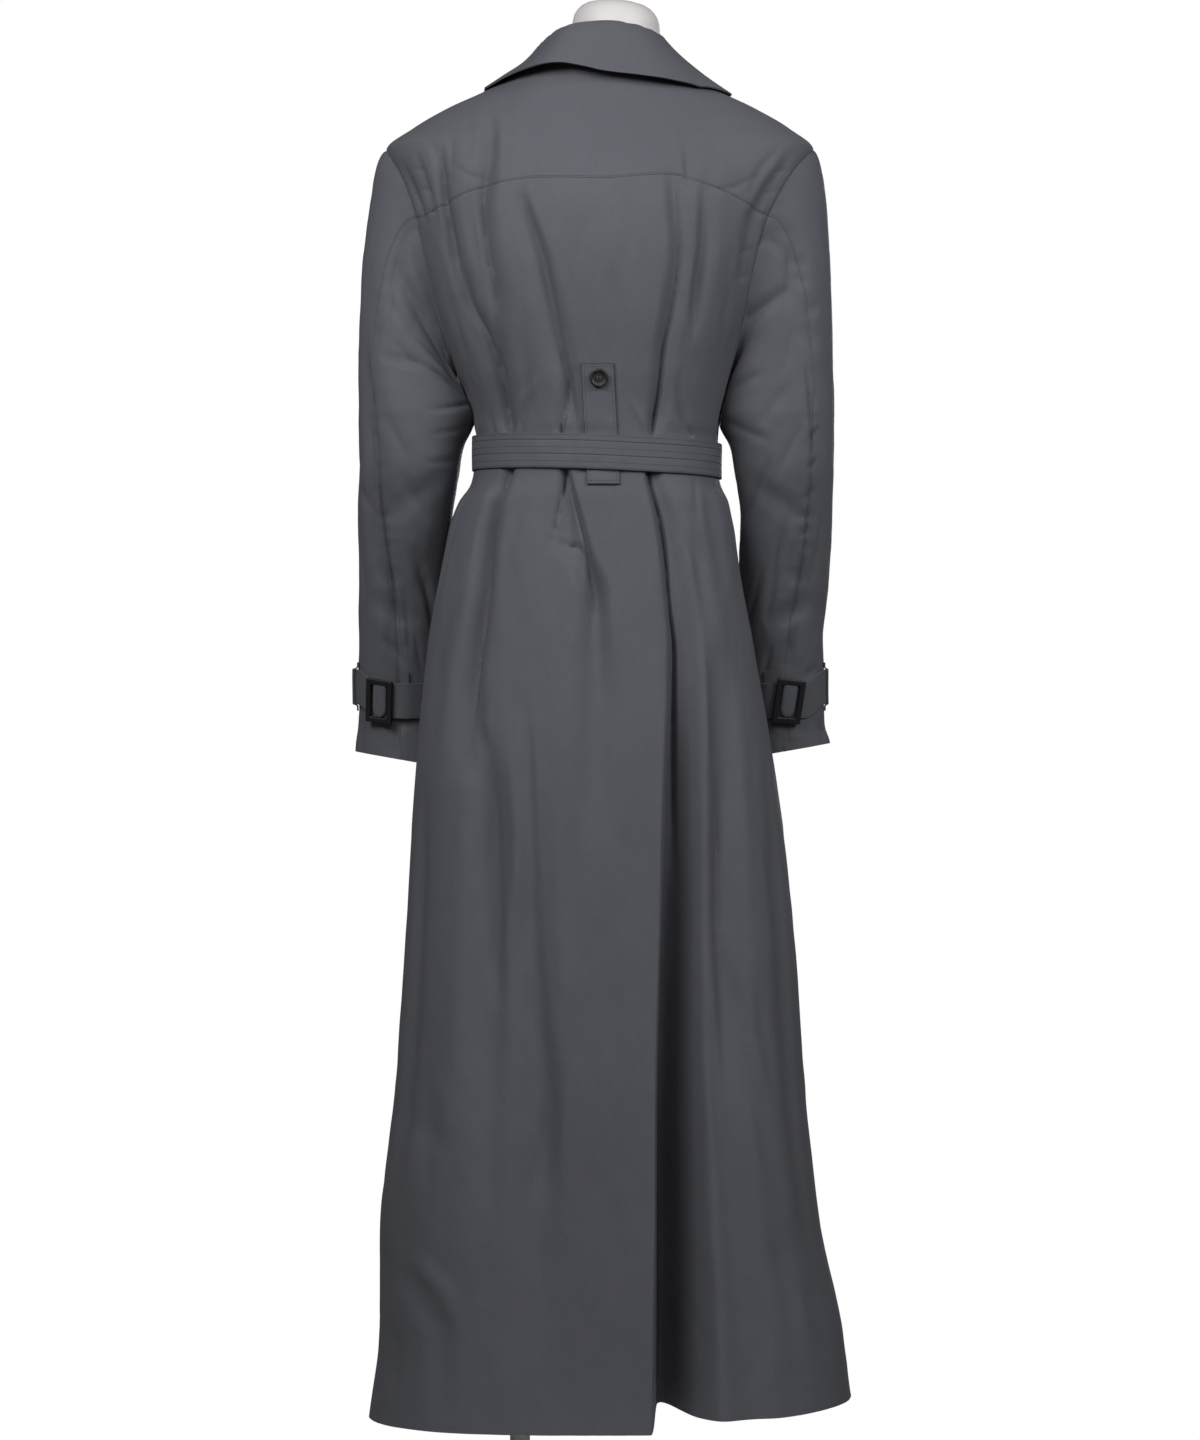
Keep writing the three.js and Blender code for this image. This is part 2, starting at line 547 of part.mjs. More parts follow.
function sleeveGrid(side) {
  const at = sleeveTracks(side);
  const half = ARMHOLE_ROWS.length - 1;
  const hole = [];
  for (let j = 0; j < 2 * half; j += 1) {
    const z = ARMHOLE_ROWS[j <= half ? j : 2 * half - j];
    const widest = j <= half ? ARMHOLE_BACK[side > 0 ? 'left' : 'right'] : ARMHOLE_FRONT;
    const edge = j <= half ? armholeTurn(z, widest) : Math.PI - armholeTurn(z, widest);
    const reach = sectionPoint(edge * side, z);
    const radius = Math.hypot(reach.x, reach.y);
    const round = (Math.PI / 2 - edge) * radius;
    const rise = (ARMPIT_Z + TIP_Z) / 2 - z;
    const step = ARMHOLE_SPACE / Math.hypot(round, rise);
    hole.push(cloth(side * (edge + (round * step) / radius), z + rise * step, ARMHOLE_SPACE).p);
  }
  const ringAt = (z, crease) => ringDegrees(at.seam(z)).map((degrees) => {
    const a = rad(degrees);
    const sink = crease ? creaseDepth(degrees, z) : 0;
    const x = at.x(z) + (at.across(z) + sink) * Math.cos(a);
    const y = at.y(z) + (at.deep(z) + sink) * Math.sin(a);
    const tilt = CUFF_TILT * Math.cos(a) + CUFF_SHIFT[side > 0 ? 'left' : 'right'];
    const low = THREE.MathUtils.smoothstep(STRAP.z - 20 - z, 0, STRAP.z - 20 - CUFF_Z);
    return vec(side * x, y, z + tilt * low);
  });
  const first = SLEEVES.left[0][0];
  const tube = ringAt(first, false);
  const rings = [hole];
  for (let k = 1; k <= CAP_RINGS; k += 1) {
    const t = (Math.PI / 2) * (k / CAP_RINGS);
    rings.push(hole.map((p, j) => {
      const x = lerp(p.x, tube[j].x, Math.sin(t));
      const y = lerp(p.y, tube[j].y, Math.sin(t));
      const z = lerp(p.z, tube[j].z, 1 - Math.cos(t));
      const degrees = ringDegrees(at.seam(first))[j];
      const sink = creaseDepth(degrees, z);
      return vec(x + side * sink * Math.cos(rad(degrees)), y + sink * Math.sin(rad(degrees)), z);
    }));
  }
  for (const z of SLEEVE_RINGS) rings.push(ringAt(z, true));
  return withNormals(rings, -side, true);
}

// One piece of a sleeve: a run of its columns, with half a seam's space at both edges
function sleevePiece(side, from, to) {
  const grid = sleeveGrid(side);
  const cols = grid[0].length;
  return shell(grid.map((row) => {
    const run = [];
    for (let j = from; j <= to; j += 1) {
      const { p, n } = row[j % cols];
      const inward = j === from ? row[(j + 1) % cols].p : row[(j - 1 + cols) % cols].p;
      const edge = j === from || j === to;
      const shift = edge ? inward.clone().sub(p).setLength(SEAM / 2) : vec(0, 0, 0);
      run.push({ p: p.clone().add(shift), n });
    }
    return run;
  }), CLOTH);
}

// A point on the outside of a sleeve's tube, with its normal
function sleeveSkin(side, degrees, z, lift) {
  const at = sleeveTracks(side);
  const point = (angle, height) => {
    const x = at.x(height) + at.across(height) * Math.cos(rad(angle));
    return vec(side * x, at.y(height) + at.deep(height) * Math.sin(rad(angle)), height);
  };
  const round = point(degrees + 1, z).sub(point(degrees - 1, z));
  const n = round.cross(point(degrees, z + 2).sub(point(degrees, z - 2))).multiplyScalar(side).normalize();
  return { p: point(degrees, z).addScaledVector(n, lift), n };
}

const STRAP_STATIONS = 28;

function cuffStrap(side) {
  const half = STRAP.height / 2;
  return shell([-half, 0, half].map((rise) => {
    const row = [];
    for (let j = 0; j < STRAP_STATIONS; j += 1) {
      row.push(sleeveSkin(side, (360 * j) / STRAP_STATIONS, STRAP.z + rise, STRAP.inner + STRAP.wall));
    }
    return row;
  }), STRAP.wall, { closed: true });
}

// A loop that holds the cuff strap: a narrow strip over it, sewn down above and below
function strapLoop(side, degrees) {
  const half = STRAP.height / 2;
  const rows = [
    [-half - LOOP.reach, 0], [-half - 1.5, 0.2], [-half - 0.8, 1], [0, 1], [half + 0.8, 1],
    [half + 1.5, 0.2], [half + LOOP.reach, 0],
  ];
  const turn = THREE.MathUtils.radToDeg(LOOP.width / 2 / SLEEVE_RADIUS);
  return shell(rows.map(([rise, over]) => [-1, 1].map((edge) => {
    const lift = lerp(LYING + LOOP.wall, LOOP.over + LOOP.wall, over);
    return sleeveSkin(side, degrees + edge * turn, STRAP.z + rise, lift);
  })), LOOP.wall);
}

// A flat frame with round corners, its window cut through, with or without a middle bar
function frame({ width, height, bar, wall }, middle) {
  const box = (w, h, x, corner) => {
    const path = new THREE.Path();
    path.moveTo(x - w / 2 + corner, -h / 2);
    path.lineTo(x + w / 2 - corner, -h / 2);
    path.quadraticCurveTo(x + w / 2, -h / 2, x + w / 2, -h / 2 + corner);
    path.lineTo(x + w / 2, h / 2 - corner);
    path.quadraticCurveTo(x + w / 2, h / 2, x + w / 2 - corner, h / 2);
    path.lineTo(x - w / 2 + corner, h / 2);
    path.quadraticCurveTo(x - w / 2, h / 2, x - w / 2, h / 2 - corner);
    path.lineTo(x - w / 2, -h / 2 + corner);
    path.quadraticCurveTo(x - w / 2, -h / 2, x - w / 2 + corner, -h / 2);
    return path;
  };
  const shape = new THREE.Shape(box(width, height, 0, 3).getPoints(3));
  const inner = width - 2 * bar;
  if (middle) {
    const pane = (inner - bar) / 2;
    for (const side of [-1, 1]) shape.holes.push(box(pane, height - 2 * bar, (side * (pane + bar)) / 2, 1.5));
  } else {
    shape.holes.push(box(inner, height - 2 * bar, 0, 1.5));
  }
  return new THREE.ExtrudeGeometry(shape, { depth: wall, bevelEnabled: false, curveSegments: 3 });
}

// Turns a flat piece so that its face looks along a level normal and stands at a point
function standAt(geometry, p, n) {
  const across = vec(0, 0, 1).cross(n).normalize();
  const up = n.clone().cross(across);
  geometry.applyMatrix4(new THREE.Matrix4().makeBasis(across, up, n).setPosition(p));
  return geometry;
}

function cuffBuckle(side, degrees) {
  const reach = (CUFF_BUCKLE.width - CUFF_BUCKLE.bar) / 2;
  const dip = (reach * reach) / (2 * SLEEVE_RADIUS);
  const { p, n } = sleeveSkin(side, degrees, STRAP.z, STRAP.inner + STRAP.wall + BUCKLE_LIFT - dip);
  return standAt(frame(CUFF_BUCKLE, false), p, n);
}

// Belt: a band that stands off the plain section, a little higher on the wearer's left
const beltHeight = (turn) => BELT_Z + BELT_TILT * Math.sin(turn);

const BELT_STATIONS = 44;

function belt() {
  return shell([-0.5, 0, 0.5].map((share) => {
    const row = [];
    for (let j = 0; j < BELT_STATIONS; j += 1) {
      const turn = (2 * Math.PI * j) / BELT_STATIONS;
      const p = sectionPoint(turn, BELT_Z);
      const next = sectionPoint(turn + 0.01, BELT_Z).sub(sectionPoint(turn - 0.01, BELT_Z));
      const n = vec(-next.y, next.x, 0).normalize();
      p.addScaledVector(n, BELT_IN + BELT_WALL).setZ(beltHeight(turn) + share * BELT_HEIGHT);
      row.push({ p, n });
    }
    return row;
  }), BELT_WALL, { closed: true });
}

function beltBuckle() {
  const y = -section.front(BELT_Z) - BELT_IN - BELT_WALL - 0.5;
  return standAt(frame(BELT_BUCKLE, true), vec(0, y, BELT_Z), vec(0, -1, 0));
}

// Back tab: a stitched strip on the centre back, its lower part under the belt; it keeps the rows
// of the panel under it
function backTab() {
  const cols = 4;
  const between = SKIRT_ROWS.filter((z) => z > TAB.bottom && z < TAB.top);
  return shell([TAB.bottom, ...between, TAB.top].map((z) => {
    const middle = TAB.x + (TAB.lean * (TAB.top - z)) / (TAB.top - TAB.bottom);
    const row = [];
    for (let j = 0; j <= cols; j += 1) {
      const x = middle + TAB.width * (j / cols - 0.5);
      row.push(cloth(turnAt(x, z), z, LYING + TAB.wall));
    }
    return row;
  }), TAB.wall);
}

// A round button with a raised rim, made upright and then turned to its place
function button(p, n) {
  const { radius, rim, dish, sides } = BUTTON;
  const profile = [
    [0, 0], [radius - 1, 0], [radius, 0.8], [radius, rim - 0.8], [radius - 0.8, rim],
    [radius - 2.6, rim], [radius - 3.6, rim - dish], [0, rim - dish],
  ].map(([r, h]) => new THREE.Vector2(r, h));
  const geometry = new THREE.LatheGeometry(profile, sides);
  geometry.rotateX(Math.PI / 2);
  return standAt(geometry, p, n);
}

function tabButton() {
  const { x, z, space } = TAB_BUTTON;
  const { p, n } = cloth(turnAt(x, z), z, LYING + TAB.wall + space);
  return button(p, n);
}

// Lapel: the front's edge turned back, lying on the front from its roll line outward, with the
// front's own rows
function lapel(side) {
  const low = LAPEL.low[side > 0 ? 'left' : 'right'];
  const { high } = LAPEL;
  const cols = 3;
  const between = ARMHOLE_ROWS.filter((z) => z > low && z < high);
  return shell([low, ...between, high].map((level) => {
    const row = [];
    for (let j = 0; j <= cols; j += 1) {
      const z = lerp(low, high - (LAPEL.gorge * j) / cols, (level - low) / (high - low));
      const reach = LAPEL.width * THREE.MathUtils.smoothstep(z, BREAK_Z - 10, 1345);
      const x = side * (1 + (reach * j) / cols) - side * edgePlace(z);
      const turn = turnAt(x, z, true);
      row.push(frontCloth(side > 0 ? turn : turn - 2 * Math.PI, z, side, LAPEL.lift + CLOTH));
    }
    return row;
  }), CLOTH);
}

// Height of the coat's plain outer face over a place in plan, between the chest and the neck
function heightOver(x, y) {
  const turn = Math.atan2(x, y);
  const reach = Math.hypot(x, y);
  let [low, high] = [1300, 1470];
  for (let i = 0; i < 24; i += 1) {
    const z = (low + high) / 2;
    const p = sectionPoint(turn, z);
    if (Math.hypot(p.x, p.y) > reach) low = z;
    else high = z;
  }
  return low;
}

// Collar: at each station a stand from the neckline, a round turn and the fall to its edge
function collar() {
  const turns = COLLAR.map((row) => row.turn);
  const along = (key) => [0, 1, 2].map((axis) => track(turns, COLLAR.map((row) => row[key][axis])));
  const top = along('top');
  const edge = along('edge');
  const neckEnd = THREE.MathUtils.radToDeg(edgeTurn(NECK_Z, 1)); // then it follows the front edge
  const columns = [];
  for (let k = 0; k <= COLLAR_STATIONS; k += 1) {
    const degrees = lerp(turns[0], turns[turns.length - 1], k / COLLAR_STATIONS);
    const sideways = Math.sign(degrees) || 1;
    const past = Math.max(Math.abs(degrees) - neckEnd, 0) / (turns[turns.length - 1] - neckEnd);
    let seat;
    if (past > 0) {
      const z = NECK_Z - COLLAR_SEAT.drop * past;
      const turn = sideways * Math.abs(edgeTurn(z, sideways));
      seat = frontCloth(turn, z, sideways, COLLAR_SEAT.over + CLOTH).p;
    } else {
      const turn = rad(degrees);
      const back = Math.max(Math.cos(turn), 0);
      seat = cloth(turn, NECK_Z - NECK_BACK_DROP * back ** 2).p;
    }
    const corner = THREE.MathUtils.smoothstep(Math.abs(degrees), neckEnd - 24, neckEnd);
    seat.z += COLLAR_SEAT.space + COLLAR_SEAT.corner * corner;
    const crown = vec(...top.map((f) => f(degrees)));
    const rim = vec(...edge.map((f) => f(degrees)));
    rim.z = Math.max(rim.z, heightOver(rim.x, rim.y) + EDGE_CLEAR);
    const out = vec(rim.x - crown.x, rim.y - crown.y, 0).normalize();
    const inner = crown.clone().addScaledVector(out, -COLLAR_TURN).add(vec(0, 0, -COLLAR_TURN));
    const outer = crown.clone().addScaledVector(out, COLLAR_TURN).add(vec(0, 0, -COLLAR_TURN * 0.6));
    const middle = outer.clone().lerp(rim, 0.5).add(vec(0, 0, 2));
    middle.z = Math.max(middle.z, heightOver(middle.x, middle.y) + FALL_CLEAR);
    columns.push([
      seat, seat.clone().lerp(inner, 0.5), inner,
      crown.clone().addScaledVector(out, -COLLAR_TURN * 0.6).add(vec(0, 0, -0.6)),
      crown.clone().addScaledVector(out, COLLAR_TURN * 0.5),
      outer, middle, rim,
    ]);
  }
  const grid = columns[0].map((unused, i) => columns.map((column) => column[i]));
  return shell(withNormals(grid, 1, false), CLOTH);
}

// Dress form: a smooth limbless torso inside the coat, flat under the hip, with a neck cap. Its
// shoulders end a little under the coat's shoulder seams, which rest there.
const SHOULDER_INSET = 4.6; // level distance from the cloth's outer face, about 0.6 mm under its wall
const TORSO_ROWS = [
  // z, half width, half depth, forward shift
  [861, 96, 72, 0], [866, 102, 76, 0], [878, 108, 80, 0], [910, 112, 83, 0], [960, 108, 80, 0],
  [1010, 96, 73, 0], [1065, 90, 68, 0], [1120, 100, 76, -2], [1190, 118, 88, -6],
  [1250, 130, 90, -6], [1310, 144, 84, -3], [1350, 152, 72, 0], [1375, 153, 62, 2],
  [1402, 152, 54, 3], [1414, 148, 51, 3], [1420, 142, 50, 3], [1440, 110, 45, 4], [1450, 66, 43, 4],
  [1458, 46, 42, 4],
];
const NECK_ROWS = [
  // z, share of the neck's radius
  [1470, 1], [1500, 1], [1511, 0.97], [1518, 0.86], [1522, 0.62], [1523, 0.3],
];
const TORSO_SPANS = 28;

function torso() {
  const positions = [];
  const rings = [];
  TORSO_ROWS.forEach(([z, wide, deep, shift]) => {
    const lean = NECK.x * THREE.MathUtils.smoothstep(z, 1440, 1460);
    rings.push((a) => {
      const widest = (Math.cos(a) > 0 ? section.left(z) : section.right(z)) - SHOULDER_INSET;
      return [lean + Math.min(wide, widest) * Math.cos(a), shift + deep * Math.sin(a), z];
    });
  });
  NECK_ROWS.forEach(([z, share]) => {
    const slope = THREE.MathUtils.smoothstep(z, 1480, 1515);
    rings.push((a) => {
      const x = NECK.radius * share * Math.cos(a);
      return [NECK.x + x, NECK.y + NECK.radius * share * Math.sin(a), z - NECK.lean * x * slope];
    });
  });
  const faces = [];
  rings.forEach((ring, i) => {
    for (let j = 0; j < TORSO_SPANS; j += 1) {
      positions.push(...ring((2 * Math.PI * j) / TORSO_SPANS));
      if (i === 0) continue;
      const k = (j + 1) % TORSO_SPANS;
      const [low, high] = [(i - 1) * TORSO_SPANS, i * TORSO_SPANS];
      faces.push(low + j, low + k, high + k, low + j, high + k, high + j);
    }
  });
  const bottom = positions.length / 3;
  positions.push(0, 0, TORSO_ROWS[0][0]);
  positions.push(NECK.x, NECK.y, NECK.top);
  for (let j = 0; j < TORSO_SPANS; j += 1) {
    const k = (j + 1) % TORSO_SPANS;
    const last = (rings.length - 1) * TORSO_SPANS;
    faces.push(bottom, k, j);
    faces.push(bottom + 1, last + j, last + k);
  }
  return solid(positions, faces);
}

function pole() {
  const long = TORSO_ROWS[0][0] - SEAM - POLE.bottom;
  const geometry = new THREE.CylinderGeometry(POLE.radius, POLE.radius, long, 24);
  geometry.rotateX(Math.PI / 2);
  geometry.translate(POLE.x, 0, POLE.bottom + long / 2);
  return geometry;
}

function base() {
  const { radius, height } = BASE;
  const profile = [[0, 0], [radius, 0], [radius, height - 3], [radius - 3, height], [0, height]];
  const geometry = new THREE.LatheGeometry(profile.map(([r, h]) => new THREE.Vector2(r, h)), 48);
  geometry.rotateX(Math.PI / 2);
  geometry.translate(BASE.x, 0, 0);
  return geometry;
}

const finishes = {
  cloth: { color: CHARCOAL, roughness: 0.75, metalness: 0 },
  horn: { color: HORN, roughness: 0.4, metalness: 0 },
  plastic: { color: BLACK_PLASTIC, roughness: 0.35, metalness: 0 },
  form: { color: FORM_WHITE, roughness: 0.6, metalness: 0 },
  steel: { color: STEEL, roughness: 0.35, metalness: 1 },
};

const coat = new THREE.Group();

function add(name, geometry, finish) {
  const mesh = new THREE.Mesh(geometry, new THREE.MeshStandardMaterial(finishes[finish]));
  mesh.name = name;
  coat.add(mesh);
}

add('back_panel', backPanel(), 'cloth');
add('back_yoke', backYoke(), 'cloth');
add('back_tab', backTab(), 'cloth');
add('back_tab_button', tabButton(), 'horn');
add('collar', collar(), 'cloth');
add('belt', belt(), 'cloth');
add('belt_buckle', beltBuckle(), 'plastic');
for (const [name, side] of [['left', 1], ['right', -1]]) {
  add(`front_${name}`, front(side), 'cloth');
  add(`lapel_${name}`, lapel(side), 'cloth');
  add(`sleeve_${name}_upper`, sleevePiece(side, BACK_SEAM, FRONT_SEAM), 'cloth');
  add(`sleeve_${name}_under`, sleevePiece(side, FRONT_SEAM, BACK_SEAM + 20), 'cloth');
  add(`cuff_strap_${name}`, cuffStrap(side), 'cloth');
  const [back, outer] = LOOP_PLACES[name];
  add(`cuff_buckle_${name}`, cuffBuckle(side, BUCKLE_PLACE[name]), 'plastic');
  add(`cuff_loop_${name}_back`, strapLoop(side, back), 'cloth');
  add(`cuff_loop_${name}_outer`, strapLoop(side, outer), 'cloth');
}

// Front buttons in a line on the upper front, two over the belt and two under it, each with the
// space that it keeps to the cloth's flat facets
const FRONT_BUTTONS = [[1172, 0.5], [1125, 0.6], [960, 0.4], [820, 0.5]];
FRONT_BUTTONS.forEach(([z, space], i) => {
  const { p, n } = frontCloth(turnAt(LAP - 22, z, true) - 2 * Math.PI, z, -1, space);
  add(`front_button_${i + 1}`, button(p, n), 'horn');
});

add('form_torso', torso(), 'form');
add('form_pole', pole(), 'steel');
add('form_base', base(), 'steel');

export default coat;
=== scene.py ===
"""Looks of a long belted trench coat on a limbless dress form, over its CAD frame.

Sizes in the tables are millimetres, as in the part; meshes are made in metres. +Z is up, the
coat's front faces -Y and +X is the wearer's left.
"""

import math

import bpy
import numpy as np
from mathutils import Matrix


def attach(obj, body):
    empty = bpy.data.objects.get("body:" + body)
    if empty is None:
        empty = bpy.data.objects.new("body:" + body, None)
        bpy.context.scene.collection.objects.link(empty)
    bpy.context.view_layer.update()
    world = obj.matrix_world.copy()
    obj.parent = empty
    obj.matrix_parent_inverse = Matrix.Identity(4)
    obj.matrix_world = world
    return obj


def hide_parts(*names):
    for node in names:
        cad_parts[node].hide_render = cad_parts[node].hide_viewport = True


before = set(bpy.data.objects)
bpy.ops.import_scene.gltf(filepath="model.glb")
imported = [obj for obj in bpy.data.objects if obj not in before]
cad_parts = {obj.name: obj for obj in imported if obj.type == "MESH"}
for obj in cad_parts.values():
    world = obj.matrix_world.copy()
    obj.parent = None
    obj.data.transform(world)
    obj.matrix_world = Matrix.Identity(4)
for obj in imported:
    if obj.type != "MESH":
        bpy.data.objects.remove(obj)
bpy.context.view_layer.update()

# Back panel
# One length of charcoal gabardine, a closely woven cotton blend, from the hem to the yoke seam. It
# is sewn at both sides, and the belt draws it in: long folds hang from the belt, and finer creases
# pinch in above and below it. 0.3 mm stays open at each seam, whose edges sink a little.
MM = 0.001
# The cloth's wall and the gap at a seam
CLOTH, SEAM = 1.6, 0.3
# Heights of the hem, the armpit, the yoke seam's ends, the shoulder's tip, and the belt's surroundings
HEM_Z, ARMPIT_Z, YOKE_END_Z, TIP_Z, WAIST_LOW, WAIST_HIGH = 115, 1150, 1302, 1374, 1045, 1090
# How far the armhole curves in from the side line, by side, as a turn
ARMHOLE_BACK = {1: math.radians(13), -1: math.radians(21)}
# Two rows of topstitching along a seam: how far inside the edge they run
DOUBLE_ROW = (2, 8)
# Columns: z; reach to the wearer's left and right, to the back and the front; power of the section
SECTIONS = [
  [115, 232, 250, 152, 150, 2.8],
  [200, 221, 241, 149, 148, 2.7],
  [300, 220, 221, 145, 145, 2.6],
  [425, 207, 207, 139, 140, 2.5],
  [585, 194, 195, 131, 132, 2.4],
  [745, 184, 176, 123, 124, 2.3],
  [885, 171, 153, 113, 114, 2.2],
  [965, 157, 139, 106, 105, 2.2],
  [1002, 149, 133, 103, 101, 2.2],
  [1022, 141, 128, 101, 98, 2.2],
  [1042, 128, 119, 98, 95, 2.2],
  [1092, 123, 118, 97, 94, 2.2],
  [1150, 143, 132, 107, 106, 2.2],
  [1210, 166, 154, 116, 115, 2.2],
  [1262, 182, 172, 119, 113, 2.2],
  [1302, 191, 186, 117, 107, 2.2],
  [1340, 202, 202, 110, 97, 2.2],
  [1374, 213, 214, 97, 84, 2.1],
  [1395, 187, 190, 88, 76, 2.1],
  [1415, 153, 156, 80, 68, 2],
  [1435, 110, 114, 73, 60, 2],
  [1470, 60, 64, 60, 50, 2],
]
# Long folds by face. Columns: z; place across the face (x at back and front, y at the sides);
# depth, inward when negative; reach towards + and towards -
FOLDS = [
  ("back", [  # deep valley beside the lip
    [100, -61, -82, 12, 62], [293, -64, -76, 12, 60], [451, -66, -64, 13, 56],
    [610, -71, -50, 14, 50], [727, -76, -34, 17, 40], [870, -80, -15, 16, 22],
    [950, -72, -10, 14, 18], [1010, -61, -8, 11, 15], [1048, -51, -5, 9, 12], [1062, -50, 0, 8, 10],
  ]),
  ("back", [  # fold down from the belt, left
    [740, 130, 0, 26, 22], [790, 129, -6, 26, 20], [840, 126, -9, 24, 16], [936, 114, -7, 20, 14],
    [1014, 104, -5, 16, 12], [1050, 90, -4, 12, 10], [1062, 88, 0, 10, 10],
  ]),
  ("back", [  # wide soft valley under it
    [300, 112, 0, 44, 40], [500, 108, -9, 40, 34], [660, 106, -10, 32, 28], [800, 110, 0, 26, 22],
  ]),
  ("back", [  # soft valley, left of the centre
    [180, 58, 0, 34, 36], [360, 62, -8, 34, 36], [600, 66, -9, 30, 32], [740, 62, 0, 24, 26],
  ]),
  ("back", [  # fold from the belt, near the tab
    [680, 4, 0, 26, 26], [800, 4, -7, 26, 26], [925, 6, -8, 18, 20], [985, 30, -8, 20, 22],
    [1040, 34, -5, 10, 10], [1058, 34, 0, 8, 8],
  ]),
  ("back", [  # soft valley on the right
    [100, -150, -5, 30, 30], [437, -126, -8, 26, 28], [727, -122, -10, 20, 24], [880, -116, 0, 16, 18],
  ]),
  ("back", [  # blouse over the belt, left
    [1084, 90, 0, 10, 10], [1100, 94, -8, 14, 14], [1145, 104, -10, 15, 15],
    [1216, 134, -8, 14, 14], [1250, 140, 0, 12, 12],
  ]),
  ("back", [  # drape from the collar, left
    [1190, 102, 0, 14, 14], [1230, 112, -6, 17, 17], [1287, 124, -8, 18, 18],
    [1345, 116, -6, 16, 16], [1392, 108, 0, 12, 12],
  ]),
  ("back", [  # slanting drape, left
    [1084, 26, 0, 9, 10], [1119, 28, -5, 11, 14], [1245, 55, -7, 15, 15], [1309, 76, -5, 14, 14],
    [1332, 80, 0, 12, 12],
  ]),
  ("back", [  # drape, right
    [1084, -55, 0, 9, 9], [1105, -58, -7, 12, 12], [1173, -65, -7, 14, 14], [1260, -77, -6, 13, 13],
    [1326, -72, -4, 12, 12], [1350, -70, 0, 10, 10],
  ]),
  ("back", [  # outer drape, right
    [1170, -92, 0, 12, 12], [1210, -96, -4, 14, 14], [1277, -104, -6, 14, 14], [1345, -104, 0, 12, 12],
  ]),
  ("left", [  # hollow beside the sleeve
    [690, -55, 0, 48, 50], [770, -52, -16, 52, 50], [870, -40, -19, 50, 50], [940, -28, -9, 44, 46],
    [1000, -20, 0, 40, 40],
  ]),
  ("right", [  # hollow beside the sleeve
    [690, -60, 0, 50, 50], [770, -54, -20, 56, 50], [870, -42, -21, 54, 50], [940, -30, -8, 44, 46],
    [1000, -20, 0, 40, 40],
  ]),
  ("left", [  # side fold
    [100, 14, -14, 30, 34], [260, 10, -16, 28, 32], [480, 6, -9, 26, 30], [680, 0, 0, 22, 24],
  ]),
  ("right", [  # side fold
    [100, -6, -15, 34, 30], [300, -4, -14, 32, 28], [520, 0, -8, 28, 26], [700, 0, 0, 22, 24],
  ]),
  ("front", [  # fold under the belt, left
    [100, 118, -26, 34, 40], [430, 112, -22, 30, 34], [760, 98, -14, 24, 26], [980, 82, -7, 16, 18],
    [1050, 74, 0, 10, 12],
  ]),
  ("front", [  # fold under the belt, right
    [100, -126, -30, 40, 34], [430, -116, -24, 34, 30], [760, -100, -15, 26, 24],
    [980, -84, -7, 18, 16], [1050, -76, 0, 12, 10],
  ]),
  ("front", [  # fold over the belt, left
    [1084, 84, 0, 12, 12], [1120, 92, -8, 15, 15], [1220, 112, -6, 16, 16], [1280, 120, 0, 14, 14],
  ]),
  ("front", [  # fold over the belt, right
    [1084, -80, 0, 12, 12], [1120, -86, -8, 15, 15], [1220, -104, -6, 16, 16], [1280, -112, 0, 14, 14],
  ]),
]
